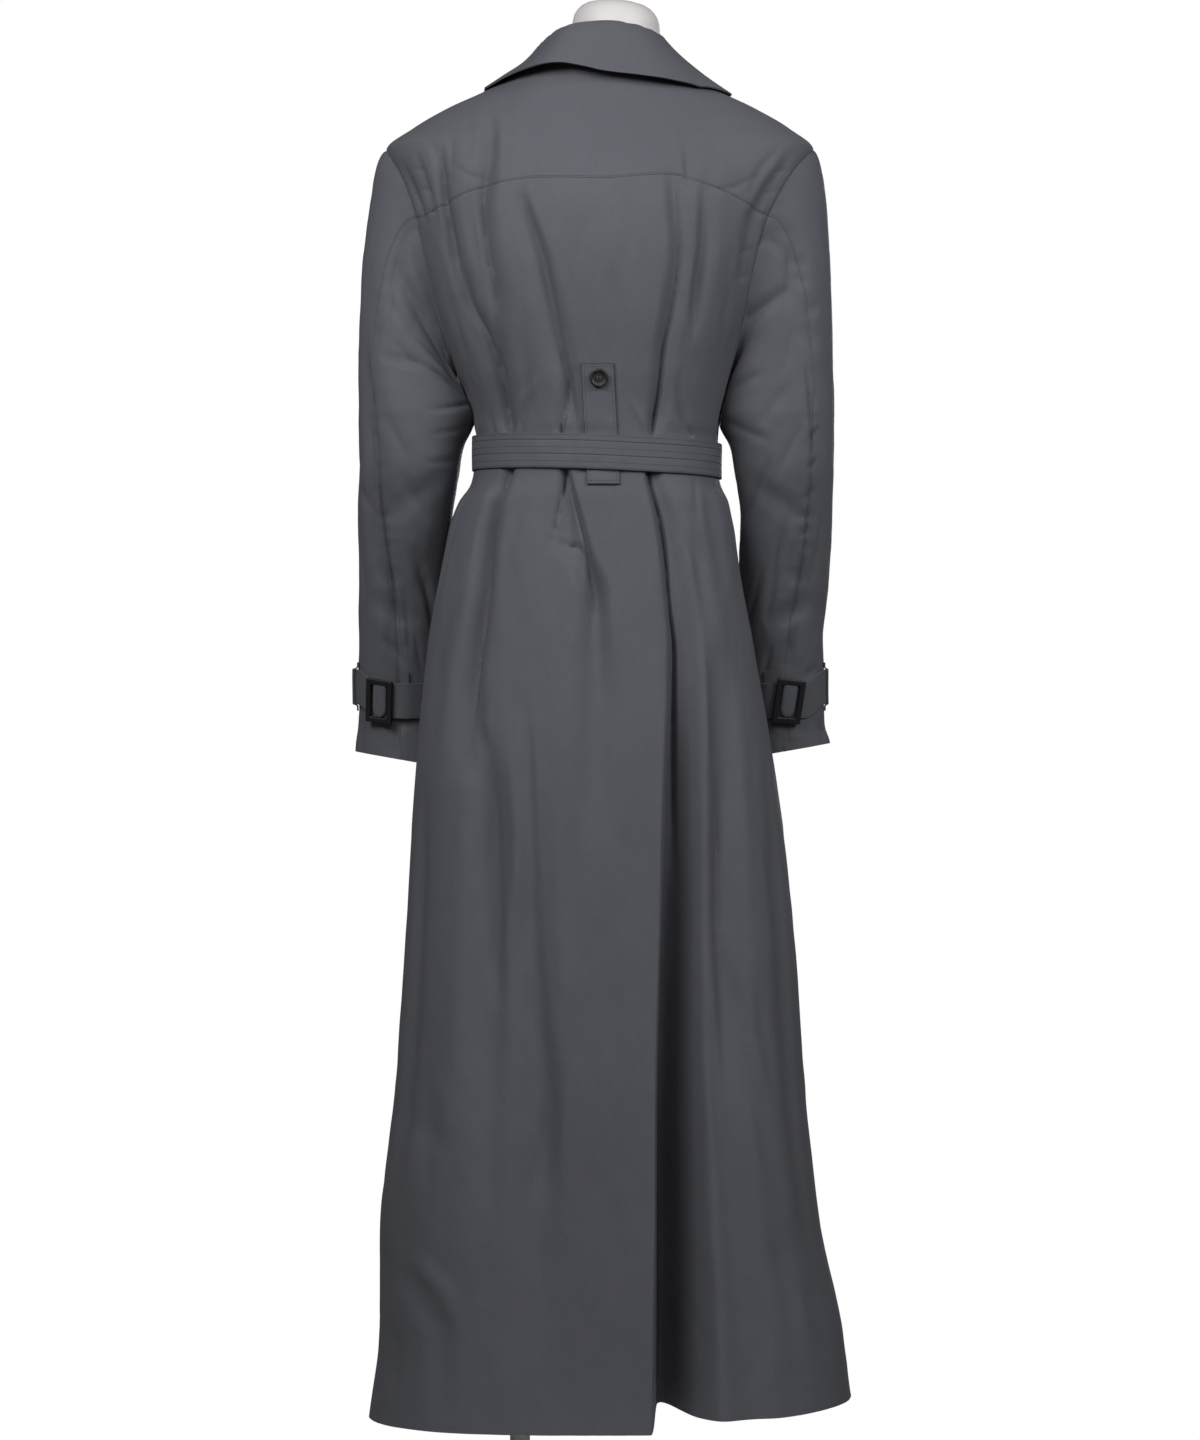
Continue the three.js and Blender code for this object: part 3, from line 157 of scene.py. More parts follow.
# Finer folds that only the dressed coat has, in the same columns
FINE_FOLDS = [
  ("back", [  # crease along the left armhole, over the yoke seam
    [1225, 143, 0, 6, 9], [1262, 147, -4, 6, 10], [1305, 153, -5, 6, 10], [1345, 156, -3, 7, 9],
    [1380, 157, 0, 7, 9],
  ]),
  ("back", [  # sharp line of the blouse, left
    [1084, 90, -3, 4, 12], [1098, 94, -6, 4, 18], [1145, 104, -7, 5, 24], [1180, 114, -6.5, 6, 24],
    [1216, 133, -5, 7, 22], [1240, 139, -4.5, 8, 20], [1275, 147, -3, 9, 18], [1310, 150, 0, 9, 14],
  ]),
  ("back", [  # drape under the collar, left
    [1120, 100, 0, 6, 14], [1155, 102, -3, 6, 16], [1220, 104, -4.5, 6, 20], [1261, 112, -5, 6, 20],
    [1308, 117, -5, 7, 20], [1358, 110, -4, 10, 18], [1405, 110, 0, 10, 14],
  ]),
  ("back", [  # long slanting drape, left of the centre
    [1088, 22, 0, 10, 5], [1119, 27, -3.5, 16, 6], [1168, 40, -4.5, 20, 8], [1204, 47, -4.5, 20, 9],
    [1245, 55, -4, 18, 9], [1277, 64, -3.5, 16, 9], [1320, 78, 0, 12, 9],
  ]),
  ("back", [  # pinch at the belt, left of the tab
    [1084, 38, -5, 4, 3], [1092, 37, -6, 9, 4], [1112, 33, -4.5, 14, 7], [1150, 29, 0, 16, 12],
  ]),
  ("back", [  # two small pinches at the belt, left
    [1084, 78, -2.5, 4, 4], [1094, 77, -2.5, 5, 6], [1125, 72, -1.5, 8, 9], [1160, 68, 0, 8, 8],
  ]),
  ("back", [  # outer pinch at the belt, left
    [1084, 104, -2, 4, 4], [1094, 106, -2, 5, 5], [1118, 110, 0, 7, 7],
  ]),
  ("back", [  # sharp drape, right
    [1084, -52, -5, 6, 2.5], [1098, -55, -7.5, 12, 2.5], [1126, -60, -6.5, 16, 3],
    [1173, -65, -5.5, 18, 3.5],
    [1196, -70, -5, 18, 4], [1260, -78, -4, 16, 5], [1300, -74, -3.5, 14, 6], [1352, -71, 0, 12, 8],
  ]),
  ("back", [  # pinch at the belt, right
    [1084, -90, -3, 5, 5], [1098, -82, -3.5, 7, 6], [1120, -78, -2, 8, 8], [1150, -76, 0, 8, 8],
  ]),
  ("back", [  # drape beside the right armhole
    [1180, -92, 0, 8, 8], [1210, -95, -3, 9, 9], [1235, -98, -4, 10, 9], [1277, -103, -3, 10, 8],
    [1345, -103, 0, 8, 7],
  ]),
  ("back", [  # short drape from the collar, right
    [1318, -87, 0, 8, 8], [1345, -86, -2.5, 8, 8], [1385, -84, 0, 8, 8],
  ]),
  ("back", [  # sharp line down from the belt, left
    [780, 129, 0, 14, 8], [840, 124, -5, 16, 4], [896, 117, -8, 18, 3], [934, 112, -9, 18, 2.5],
    [980, 109, -9, 16, 2.5], [1012, 102, -8, 13, 2.5], [1040, 91, -6, 9, 2.5], [1050, 88, -5, 6, 2.5],
  ]),
  ("back", [  # sharp line down from the belt, right
    [640, -82, 0, 20, 8], [740, -81, -6, 20, 3], [820, -79, -7, 20, 3], [870, -78, -7, 20, 3],
    [915, -72, -7, 20, 2.5], [973, -67, -7, 18, 2.5], [1005, -61, -6.5, 15, 2.5],
    [1040, -51, -5.5, 10, 2.5],
    [1050, -50, -4.5, 7, 2.5],
  ]),
  ("back", [  # the V under the belt, its left arm
    [965, 48, 0, 5, 5], [985, 46, -3, 4, 3], [1020, 38, -5, 4, 2.5], [1045, 34, -6, 4, 3],
    [1052, 34, -4, 4, 3],
  ]),
  ("back", [  # the V under the belt, its right arm, running out in a soft valley
    [900, 2, 0, 14, 12], [925, 4, -3, 12, 10], [958, 10, -4.5, 6, 7], [985, 16, -4.5, 3, 6],
    [1020, 25, -4.5, 2.5, 5], [1045, 32, -4, 2.5, 4],
  ]),
  ("back", [  # soft valleys low on the left
    [520, 100, 0, 16, 16], [590, 104, -4, 16, 14], [700, 106, -5, 15, 12], [790, 112, 0, 14, 12],
  ]),
  ("back", [  # soft valley low, left of the centre
    [330, 52, 0, 18, 16], [420, 50, -4, 18, 16], [520, 60, -4, 16, 14], [640, 68, -3, 14, 12],
    [760, 70, -3, 12, 10], [840, 74, 0, 10, 10],
  ]),
  ("back", [  # soft valley right of the deep one
    [420, -128, 0, 12, 12], [520, -124, -5, 12, 10], [640, -120, -6, 11, 9], [745, -119, -4, 10, 8],
    [820, -112, 0, 9, 9],
  ]),
  ("back", [  # ridge that catches light beside the deep valley
    [130, -112, 0, 14, 14], [300, -108, 4, 16, 14], [520, -103, 5, 15, 12], [700, -101, 5, 13, 11],
    [830, -100, 3, 11, 11], [900, -96, 0, 10, 10],
  ]),
  ("left", [  # small folds that the sleeve pushes into the side
    [900, 20, 0, 12, 12], [960, 26, -4, 12, 12], [1020, 30, -4, 9, 9], [1046, 30, 0, 7, 7],
  ]),
  ("right", [  # the same on the right
    [900, 12, 0, 12, 12], [960, 18, -4, 12, 12], [1020, 24, -4, 9, 9], [1046, 24, 0, 7, 7],
  ]),
  ("left", [  # small fold over the belt
    [1086, 18, -3, 6, 6], [1110, 20, -5, 10, 10], [1148, 22, 0, 10, 10],
  ]),
  ("right", [  # the same on the right
    [1086, 14, -3, 6, 6], [1110, 16, -5, 10, 10], [1148, 18, 0, 10, 10],
  ]),
  ("left", [  # long soft fold of the skirt, behind the side
    [300, 70, 0, 20, 20], [480, 66, -6, 20, 18], [640, 58, -5, 18, 16], [760, 50, 0, 14, 14],
  ]),
  ("right", [  # the same on the right
    [260, 78, 0, 20, 20], [440, 72, -7, 20, 18], [640, 60, -5, 18, 16], [780, 50, 0, 14, 14],
  ]),
  ("left", [  # long soft fold of the skirt, before the side
    [200, -72, 0, 20, 20], [420, -66, -7, 20, 18], [600, -60, -5, 18, 16], [760, -52, 0, 14, 14],
  ]),
  ("right", [  # the same on the right
    [240, -76, 0, 20, 20], [400, -70, -6, 20, 18], [620, -62, -5, 18, 16], [740, -54, 0, 14, 14],
  ]),
  ("front", [  # long soft fold of the skirt, right
    [120, -30, -8, 20, 20], [420, -36, -8, 20, 18], [700, -44, -5, 16, 14], [1000, -48, -3, 8, 8],
    [1046, -48, 0, 6, 6],
  ]),
  ("front", [  # long soft fold of the skirt, left
    [240, 70, 0, 20, 20], [420, 72, -6, 20, 18], [760, 62, -5, 16, 14], [1000, 54, -3, 8, 8],
    [1046, 52, 0, 6, 6],
  ]),
  ("front", [  # small fold over the belt, left
    [1084, 52, -3, 5, 5], [1110, 56, -4, 9, 9], [1170, 66, 0, 10, 10],
  ]),
  ("front", [  # small fold over the belt, right
    [1084, -44, -3, 5, 5], [1115, -50, -4, 9, 9], [1180, -60, 0, 10, 10],
  ]),
]
# Short creases on the back: points (x, z) along them, half width and depth
CREASES = [
  ([(46, 984), (34, 975), (20, 973), (10, 958)], 5, -3.0),
  ([(52, 990), (40, 982), (30, 985)], 4, 1.8),
  ([(12, 950), (4, 925), (6, 890)], 9, -2.5),
  ([(112, 838), (118, 800), (112, 770)], 10, -3.0),
  ([(204, 268), (176, 246), (156, 214), (153, 122)], 20, -3.2),
  ([(186, 284), (150, 248), (140, 220)], 16, 2.0),
  ([(206, 424), (176, 410), (140, 380)], 22, -1.6),
  ([(212, 214), (202, 190), (206, 150)], 14, -2.4),
  ([(60, 470), (66, 430), (56, 392)], 16, -1.4), ([(76, 640), (84, 560), (70, 500)], 16, -1.8),
  ([(20, 700), (28, 620), (24, 560)], 18, -1.2), ([(-16, 880), (-24, 760), (-20, 660)], 20, -1.2),
  ([(10, 380), (-10, 320), (-4, 250)], 24, -1.2), ([(120, 700), (116, 640), (124, 590)], 14, -1.4),
  ([(-96, 300), (-110, 240), (-102, 170)], 12, -2.2), ([(-170, 300), (-184, 240), (-190, 180)], 14, -2.6),
  ([(-200, 260), (-212, 210), (-226, 170)], 12, -2.2), ([(-130, 640), (-142, 580), (-138, 500)], 12, -2.0),
  ([(140, 930), (158, 880), (160, 830)], 10, -1.8), ([(70, 1030), (84, 990), (96, 960)], 9, -1.2),
  ([(-70, 1010), (-96, 960), (-104, 900)], 9, -1.6), ([(-10, 1040), (-14, 1010), (-8, 980)], 8, -1.0),
  ([(18, 1322), (14, 1290), (22, 1250)], 9, -0.9), ([(-24, 1326), (-30, 1280), (-26, 1230)], 11, -0.9),
  ([(-8, 1250), (-18, 1200), (-16, 1150)], 12, -1.0), ([(96, 1420), (88, 1390), (92, 1350)], 9, -1.0),
  ([(40, 1400), (46, 1370), (42, 1342)], 10, -0.7), ([(-40, 1402), (-36, 1372), (-42, 1344)], 9, -0.7),
  ([(-120, 1400), (-112, 1370), (-116, 1338)], 8, -1.0), ([(166, 1378), (158, 1345), (154, 1305)], 7, -3.0),
  ([(182, 1366), (172, 1335), (163, 1300)], 6, -3.2), ([(196, 1358), (184, 1330), (172, 1296)], 5, -3.0),
  ([(150, 1392), (146, 1366), (148, 1330)], 6, -1.6), ([(190, 1340), (180, 1316), (174, 1300)], 4, -2.0),
  ([(160, 1294), (150, 1260), (152, 1230)], 6, -1.6), ([(150, 1226), (140, 1190), (132, 1160)], 7, -1.8),
  ([(-150, 1320), (-140, 1280), (-142, 1240)], 7, -1.4),
  ([(-132, 1240), (-122, 1200), (-118, 1160)], 8, -1.6),
  ([(-119, 586), (-135, 535), (-148, 451), (-167, 368), (-180, 335)], 15, -4.0),
  ([(-100, 560), (-112, 470), (-122, 380), (-128, 300)], 12, -2.2),
  ([(39, 480), (50, 415), (60, 345)], 17, -2.8), ([(96, 760), (92, 680), (100, 600)], 14, -2.2),
  ([(-8, 640), (-2, 560), (-10, 470)], 20, -1.6), ([(176, 470), (168, 420), (176, 350)], 18, -2.2),
  ([(-86, 250), (-98, 215), (-112, 180)], 8, -1.6), ([(-150, 250), (-158, 200), (-150, 150)], 12, -2.0),
  ([(-150, 560), (-158, 500), (-176, 430)], 12, -3.0),
  ([(150, 1352), (128, 1338), (104, 1330)], 6, -1.2),
  ([(-156, 1340), (-132, 1326), (-104, 1322)], 6, -1.2),
  ([(-190, 1366), (-167, 1330), (-152, 1300), (-145, 1262), (-138, 1226)], 9, -4.5),
  ([(-178, 1372), (-158, 1346), (-146, 1318)], 8, -1.8), ([(132, 1402), (126, 1378), (130, 1350)], 8, -1.6),
  ([(116, 1410), (106, 1386), (108, 1354)], 9, -1.5), ([(64, 1412), (58, 1390), (60, 1366)], 8, -1.0),
  ([(-62, 1380), (-70, 1356), (-66, 1334)], 8, -1.1), ([(-96, 1366), (-90, 1344), (-94, 1326)], 8, -1.2),
  ([(178, 1330), (166, 1324)], 4, -1.2), ([(186, 1350), (172, 1346)], 4, -1.2),
  ([(172, 1308), (160, 1304)], 4, -1.2), ([(-176, 1328), (-164, 1322)], 4, -1.2),
  ([(-186, 1348), (-172, 1344)], 4, -1.2), ([(-168, 1306), (-156, 1302)], 4, -1.2),
  ([(-152, 1270), (-138, 1262)], 4, -1.5), ([(-148, 1244), (-134, 1238)], 4, -1.5),
  ([(60, 1140), (76, 1118), (84, 1100)], 8, 2.0),
  ([(-30, 1118), (-40, 1100), (-46, 1086)], 7, 1.8),
  ([(96, 1060), (99, 1030), (106, 1000)], 7, 1.6),
  ([(-104, 1040), (-112, 990), (-122, 930)], 10, -2.6),
  ([(-92, 1046), (-96, 1000)], 6, -1.6),
]
YOKE_SEAM = [
  [-165, YOKE_END_Z], [-112, 1326], [-70, 1337], [0, 1333], [60, 1334], [111, 1328], [147, 1314],
  [175, YOKE_END_Z],
]
# Lines that the back's columns follow, a row for each height
GUIDES = [
  [115, -118, -60, -49, 6, 62, 116],
  [451, -118, -65, -53, 6, 64, 110],
  [727, -114, -76, -59, 5, 60, 110],
  [870, -104, -80, -65, 6, 50, 124],
  [965, -94, -70, -57, 9, 42, 112],
  [1045, -78, -51, -42, 12, 34, 90],
  [1092, -80, -56, -44, 8, 27, 92],
  [1210, -96, -70, -54, 5, 46, 114],
  [1302, -104, -76, -56, 0, 74, 124],
]
# Columns between one guide and the next, from the right edge to the left one
GUIDE_STEPS = [36, 24, 20, 32, 24, 24, 38]
# The row of stitches that shows near the right side seam: its heights, and x at each
SIDE_ROW = [[440, -191], [505, -184], [609, -172], [708, -155], [883, -134], [960, -124]]


def mix(a, b, t):
    """From a to b by the share t."""
    return a + (b - a) * t


def eased(x, low, high):
    """0 below low, 1 above high, and an S curve between them."""
    t = np.clip((x - low) / (high - low), 0, 1)
    return t * t * (3 - 2 * t)


def track(knots, values):
    """A smooth curve through a table's rows: cubic between rows, and an inner slope is the
    harmonic mean of its two steps, or 0 where they differ in sign, so it never swings past."""
    k, v = np.asarray(knots, float), np.asarray(values, float)
    steps = np.diff(v) / np.diff(k)
    slopes = np.zeros_like(v)
    slopes[0], slopes[-1] = steps[0], steps[-1]
    product = steps[:-1] * steps[1:]
    total = np.where(product > 0, steps[:-1] + steps[1:], 1)
    slopes[1:-1] = np.where(product > 0, 2 * product / total, 0)

    def at(x):
        """The value at x: the cubic between the two rows round it."""
        x = np.clip(x, k[0], k[-1])
        i = np.clip(np.searchsorted(k, x, side="left") - 1, 0, len(k) - 2)
        span = k[i + 1] - k[i]
        t = (x - k[i]) / span
        start = v[i] * (1 + 2 * t) + slopes[i] * span * t
        end = v[i + 1] * (3 - 2 * t) - slopes[i + 1] * span * (1 - t)
        return start * (1 - t) ** 2 + end * t**2

    return at


def columns(rows):
    """A table's columns after the first, each as a track over the first."""
    rows = sorted(rows)
    knots = [row[0] for row in rows]
    return [track(knots, [row[i] for row in rows]) for i in range(1, len(rows[0]))]


# How far the hem hangs above its lowest line, at places across the back and the front
HEM_LIFT_BACK = track([-250, -170, -100, -62, -49, 235], [19, 13, 12, 19, 0, 0])
HEM_LIFT_FRONT = track([-250, -120, 0, 235], [19, 5, 0, 0])

section_left, section_right, section_back, section_front, section_power = columns(SECTIONS)
yoke_seam = track([row[0] for row in YOKE_SEAM], [row[1] for row in YOKE_SEAM])
guides = columns(GUIDES)
FOLD_TRACKS = [(face, rows[0][0], rows[-1][0], columns(rows)) for face, rows in FOLDS]
FINE_TRACKS = [(face, rows[0][0], rows[-1][0], columns(rows)) for face, rows in FINE_FOLDS]


def unit(v):
    """Vectors of length 1."""
    return v / np.maximum(np.linalg.norm(v, axis=-1, keepdims=True), 1e-9)


def noise(u, v, seed):
    """Soft value noise, -1 to 1: random values on a unit lattice, eased between neighbours."""
    values = np.random.default_rng(seed).uniform(-1, 1, (64, 64))
    i, j = np.floor(u).astype(int), np.floor(v).astype(int)
    s, t = u - i, v - j
    s, t = s * s * (3 - 2 * s), t * t * (3 - 2 * t)
    low = mix(values[i % 64, j % 64], values[(i + 1) % 64, j % 64], s)
    high = mix(values[i % 64, (j + 1) % 64], values[(i + 1) % 64, (j + 1) % 64], s)
    return mix(low, high, t)


def section_point(turn, z):
    """The plain section: a rounded box of the row's power at a turn from the centre back."""
    s, c = np.sin(turn), np.cos(turn)
    across = np.where(s >= 0, section_left(z), section_right(z))
    along = np.where(c >= 0, section_back(z), section_front(z))
    power = section_power(z)
    radius = (np.abs(s / across) ** power + np.abs(c / along) ** power) ** (-1 / power)
    return np.stack([radius * s, radius * c, z + 0 * s], -1)


def turn_at(x, z, front=False):
    """The turn at which the plain back or front section passes a place across it."""
    across = np.where(np.asarray(x) >= 0, section_left(z), section_right(z))
    along = section_front(z) if front else section_back(z)
    power = section_power(z)
    share = np.minimum(np.abs(x / across), 0.999)
    y = along * (1 - share**power) ** (1 / power)
    return np.pi - np.arctan2(x, y) if front else np.arctan2(x, y)


def trough_sum(tables, turn, place, crisp=False):
    """Sum of troughs, each its depth times a profile of the share of its reach: cos squared, and
    in a crisp table (1 - share) to the power 1.6, a crease line, where a reach is under 5 mm."""
    x, y, z = place[..., 0], place[..., 1], place[..., 2]
    total = np.zeros(x.shape)
    for face, low, high, (middle, depth, plus, minus) in tables:
        side = {"back": np.cos(turn), "front": -np.cos(turn), "left": np.sin(turn), "right": -np.sin(turn)}
        level = face in ("back", "front")
        start = 0.12 if level else 0.35
        off = (x if level else y) - middle(z)
        share = np.clip(off / np.where(off > 0, plus(z), minus(z)), -1, 1)
        weight = eased(side[face], start, start + 0.3) * ((z >= low) & (z <= high))
        narrow = eased(9 - np.minimum(plus(z), minus(z)), 0, 4) if crisp else 0
        profile = mix(np.cos(np.pi / 2 * share) ** 2, (1 - np.abs(share)) ** 1.6, narrow)
        total += depth(z) * profile * weight
    return total


def crease_sum(turn, place):
    """Sum of short creases on the back, tapering to both ends: cos squared across a wide one and
    a crease line across a narrow one."""
    x, z = place[..., 0], place[..., 2]
    total = np.zeros(x.shape)
    for line, half, depth in CREASES:
        ends = np.array(line, float)
        steps = np.linalg.norm(np.diff(ends, axis=0), axis=1)
        best, along = np.full(x.shape, 1e9), np.zeros(x.shape)
        for i, step in enumerate(steps):
            d = (ends[i + 1] - ends[i]) / step
            t = np.clip((x - ends[i, 0]) * d[0] + (z - ends[i, 1]) * d[1], 0, step)
            away = np.hypot(x - ends[i, 0] - t * d[0], z - ends[i, 1] - t * d[1])
            nearer = away < best
            best = np.where(nearer, away, best)
            along = np.where(nearer, (steps[:i].sum() + t) / steps.sum(), along)
        share = np.clip(best / half, 0, 1)
        profile = mix(np.cos(np.pi / 2 * share) ** 2, (1 - share) ** 1.6, float(half < 9))
        total += depth * profile * np.sin(np.pi * np.clip(along, 0.02, 0.98)) ** 0.7
    return total * eased(np.cos(turn), 0.03, 0.2)


def unevenness(turn, place):
    """Slow swells of hanging cloth, longer down the coat than across it, still at the belt."""
    z = place[..., 2]
    girth = turn * 170
    swell = 1.5 * noise(girth / 46, z / 210, 3) + 0.8 * noise(girth / 19 + 7, z / 74, 5)
    ripple = 0.3 * noise(girth / 8, z / 22, 9)
    still = eased(np.abs(z - 1067), 17, 70)
    return (swell + ripple) * still * (1 - 0.6 * eased(z, 1330, 1400))


def puff(turn, z):
    """The cloth swells over and under the belt that draws it in."""
    over = eased(z, 1085, 1098) * (1 - eased(z, 1100, 1150))
    under = eased(1049 - z, 0, 10) * (1 - eased(1049 - z, 12, 46))
    return over * (1.4 + 0.8 * np.sin(5 * turn + 0.4)) + under * (1.2 + 0.7 * np.sin(7 * turn + 1))


def cloth_point(turn, z):
    """The coat's outer face: the section moved level in or out by its folds, with the hem's
    lift easing out in the lowest 200 mm."""
    turn, z = np.broadcast_arrays(np.asarray(turn, float), np.asarray(z, float))
    place = section_point(turn, z)
    step = section_point(turn + 0.01, z) - section_point(turn - 0.01, z)
    out = unit(np.stack([-step[..., 1], step[..., 0], 0 * z], -1))
    depth = trough_sum(FOLD_TRACKS, turn, place) * (1 - 0.5 * eased(z, 1070, 1100))
    depth = depth + trough_sum(FINE_TRACKS, turn, place, True) * (1 + 0.3 * eased(z, 1075, 1110))
    depth = depth + crease_sum(turn, place) + unevenness(turn, place) + puff(turn, z)
    lift = np.where(np.cos(turn) >= 0, HEM_LIFT_BACK(place[..., 0]), HEM_LIFT_FRONT(place[..., 0]))
    place = place + out * depth[..., None]
    place[..., 2] += lift * (1 - np.clip((z - HEM_Z) / 200, 0, 1)) ** 2
    return place


def cloth(turn, z, lift=0.0):
    """A point at a lift along the face's normal, with that normal from small steps both ways."""
    turn, z = np.broadcast_arrays(np.asarray(turn, float), np.asarray(z, float))
    here = section_point(turn, z)
    step = 1 / np.hypot(here[..., 0], here[..., 1])
    around = cloth_point(turn + step, z) - cloth_point(turn - step, z)
    up = cloth_point(turn, z + 1.5) - cloth_point(turn, z - 1.5)
    normal = unit(np.cross(up, around))
    return cloth_point(turn, z) + normal * np.asarray(lift)[..., None], normal


def armhole_turn(z, widest):
    """Turn of the edge beside the sleeve: the side line less a half ellipse over its height."""
    t = np.clip((z - ARMPIT_Z) / (TIP_Z - ARMPIT_Z), 0, 1)
    return np.pi / 2 - widest * np.sqrt(4 * t * (1 - t))


def back_turns(z):
    """Turns of the back's columns: they keep to the guides between its two edges."""
    z = np.asarray(z, float)
    gap = np.where((z < ARMPIT_Z) | (z >= TIP_Z), SEAM / 2 / section_left(z), 0)
    right, left = (armhole_turn(z, ARMHOLE_BACK[side]) - gap for side in (-1, 1))
    marks = [-right] + [turn_at(guide(z), z) for guide in guides] + [left]
    turns = [marks[0]]
    for i, steps in enumerate(GUIDE_STEPS):
        turns += [mix(marks[i], marks[i + 1], k / steps) for k in range(1, steps + 1)]
    return np.stack(turns, -1)


def even_levels(stops, steps):
    """Heights from stop to stop, each stretch cut in its own number of even steps."""
    stretches = [np.linspace(a, b, n + 1)[:-1] for a, b, n in zip(stops, stops[1:], steps)]
    return np.concatenate(stretches + [[stops[-1]]])


def grid_normals(points, side, closed=False):
    """Unit normals of a grid: its row direction crossed with its column direction."""
    if closed:
        across = np.roll(points, -1, 1) - np.roll(points, 1, 1)
    else:
        across = np.gradient(points, axis=1)
    return unit(np.cross(np.gradient(points, axis=0), across)) * side


def arc_lengths(points):
    """Distance along each row from its first point, and along each column from its first."""
    across = np.linalg.norm(np.diff(points, axis=1), axis=-1)
    down = np.linalg.norm(np.diff(points, axis=0), axis=-1)
    u = np.pad(np.cumsum(across, 1), ((0, 0), (1, 0)))
    return u, np.pad(np.cumsum(down, 0), ((1, 0), (0, 0)))


def sunk_edges(grid, edges):
    """How far a panel's edges sink at its seams: an exponential of the distance to each edge that
    is named, from the lengths along the grid."""
    sink, reach = 0.35, 1.1
    u, v = arc_lengths(grid)
    ways = {"start": u, "end": u[:, -1:] - u, "low": v, "high": v[-1:] - v}
    return sum(-sink * np.exp(-((ways[edge] / reach) ** 2)) for edge in edges)


def make_mesh(name, points, faces, uv, material, turn=0, sharp=50):
    """A mesh object from points in mm and face arrays of any corner count. Faces are turned so
    that the volume is positive. uv is in mm and kept in metres; turn is its length round a ring,
    which a face that closes the ring goes on from."""
    volume = 0.0
    for f in faces:
        for k in range(1, f.shape[1] - 1):
            a, b, c = points[f[:, 0]], points[f[:, k]], points[f[:, k + 1]]
            volume += np.einsum("ij,ij->i", a, np.cross(b, c)).sum()
    if volume < 0:
        faces = [f[:, ::-1] for f in faces]
    mesh = bpy.data.meshes.new(name)
    mesh.vertices.add(len(points))
    mesh.vertices.foreach_set("co", (points * MM).astype(np.float32).ravel())
    totals = np.concatenate([np.full(len(f), f.shape[1]) for f in faces])
    mesh.loops.add(int(totals.sum()))
    mesh.loops.foreach_set("vertex_index", np.concatenate([f.ravel() for f in faces]).astype(np.int32))
    mesh.polygons.add(len(totals))
    mesh.polygons.foreach_set("loop_start", (np.cumsum(totals) - totals).astype(np.int32))
    mesh.update(calc_edges=True)
    if uv is not None:
        corners = []
        for f in faces:
            u = uv[f]
            if turn:
                wraps = np.ptp(u[:, :, 0], axis=1) > turn / 2
                u[:, :, 0] += np.where(wraps[:, None] & (u[:, :, 0] < turn / 2), turn, 0)
            corners.append(u.reshape(-1, 2))
        layer = mesh.uv_layers.new(name="cloth")
        layer.data.foreach_set("uv", (np.concatenate(corners) * MM).astype(np.float32).ravel())
    mesh.validate()
    mesh.shade_smooth()
    mesh.set_sharp_from_angle(angle=math.radians(sharp))
    piece = bpy.data.objects.new(name, mesh)
    bpy.context.scene.collection.objects.link(piece)
    mesh.materials.append(material)
    return piece


def shell(name, outer, normals, wall, material, closed=False):
    """A closed wall from a grid of outer points: the inner face is the grid's every second row and
    column moved in by wall along the normals, and five-cornered faces join the edges."""
    rows, cols = outer.shape[:2]
    half = (outer - normals * wall)[::2, ::2]
    inner_cols = half.shape[1]
    points = np.concatenate([outer.reshape(-1, 3), half.reshape(-1, 3)])
    base = rows * cols

    def at(i, j):
        """Index of an outer point."""
        return i * cols + j % cols

    def into(i, j):
        """Index of the inner point behind it."""
        return base + (i // 2) * inner_cols + (j // 2) % inner_cols

    last = cols if closed else cols - 1
    i, j = (a.ravel() for a in np.meshgrid(np.arange(rows - 1), np.arange(last), indexing="ij"))
    m, n = (a.ravel() for a in np.meshgrid(np.arange(0, rows - 1, 2), np.arange(0, last, 2),
                                           indexing="ij"))
    quads = np.concatenate([
        np.stack([at(i, j), at(i + 1, j), at(i + 1, j + 1), at(i, j + 1)], 1),
        np.stack([into(m, n), into(m, n + 2), into(m + 2, n + 2), into(m + 2, n)], 1),
    ])
    k, end = np.arange(0, last, 2), rows - 1
    borders = [
        np.stack([at(0, k), at(0, k + 1), at(0, k + 2), into(0, k + 2), into(0, k)], 1),
        np.stack([at(end, k + 2), at(end, k + 1), at(end, k), into(end, k), into(end, k + 2)], 1),
    ]
    if not closed:
        k, end = np.arange(0, rows - 1, 2), cols - 1
        borders += [
            np.stack([at(k + 2, 0), at(k + 1, 0), at(k, 0), into(k, 0), into(k + 2, 0)], 1),
            np.stack([at(k, end), at(k + 1, end), at(k + 2, end), into(k + 2, end), into(k, end)], 1),
        ]
    u, v = arc_lengths(outer)
    uv = np.stack([u, v], -1)
    length = u[0, -1] + np.linalg.norm(outer[0, -1] - outer[0, 0]) if closed else 0
    uv = np.concatenate([uv.reshape(-1, 2), uv[::2, ::2].reshape(-1, 2)])
    return make_mesh(name, points, [quads, np.concatenate(borders)], uv, material, length)


def finish_piece(piece, slot, *nodes):
    """The piece rides the one body and stands for the CAD nodes, which it hides. slot is not used."""
    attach(piece, "root")
    if nodes:
        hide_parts(*nodes)
    return piece


def linear(colour):
    """An sRGB hex colour as linear RGBA, opaque."""
    parts = [int(colour[i:i + 2], 16) / 255 for i in (0, 2, 4)]
    return [c / 12.92 if c <= 0.04045 else ((c + 0.055) / 1.055) ** 2.4 for c in parts] + [1.0]


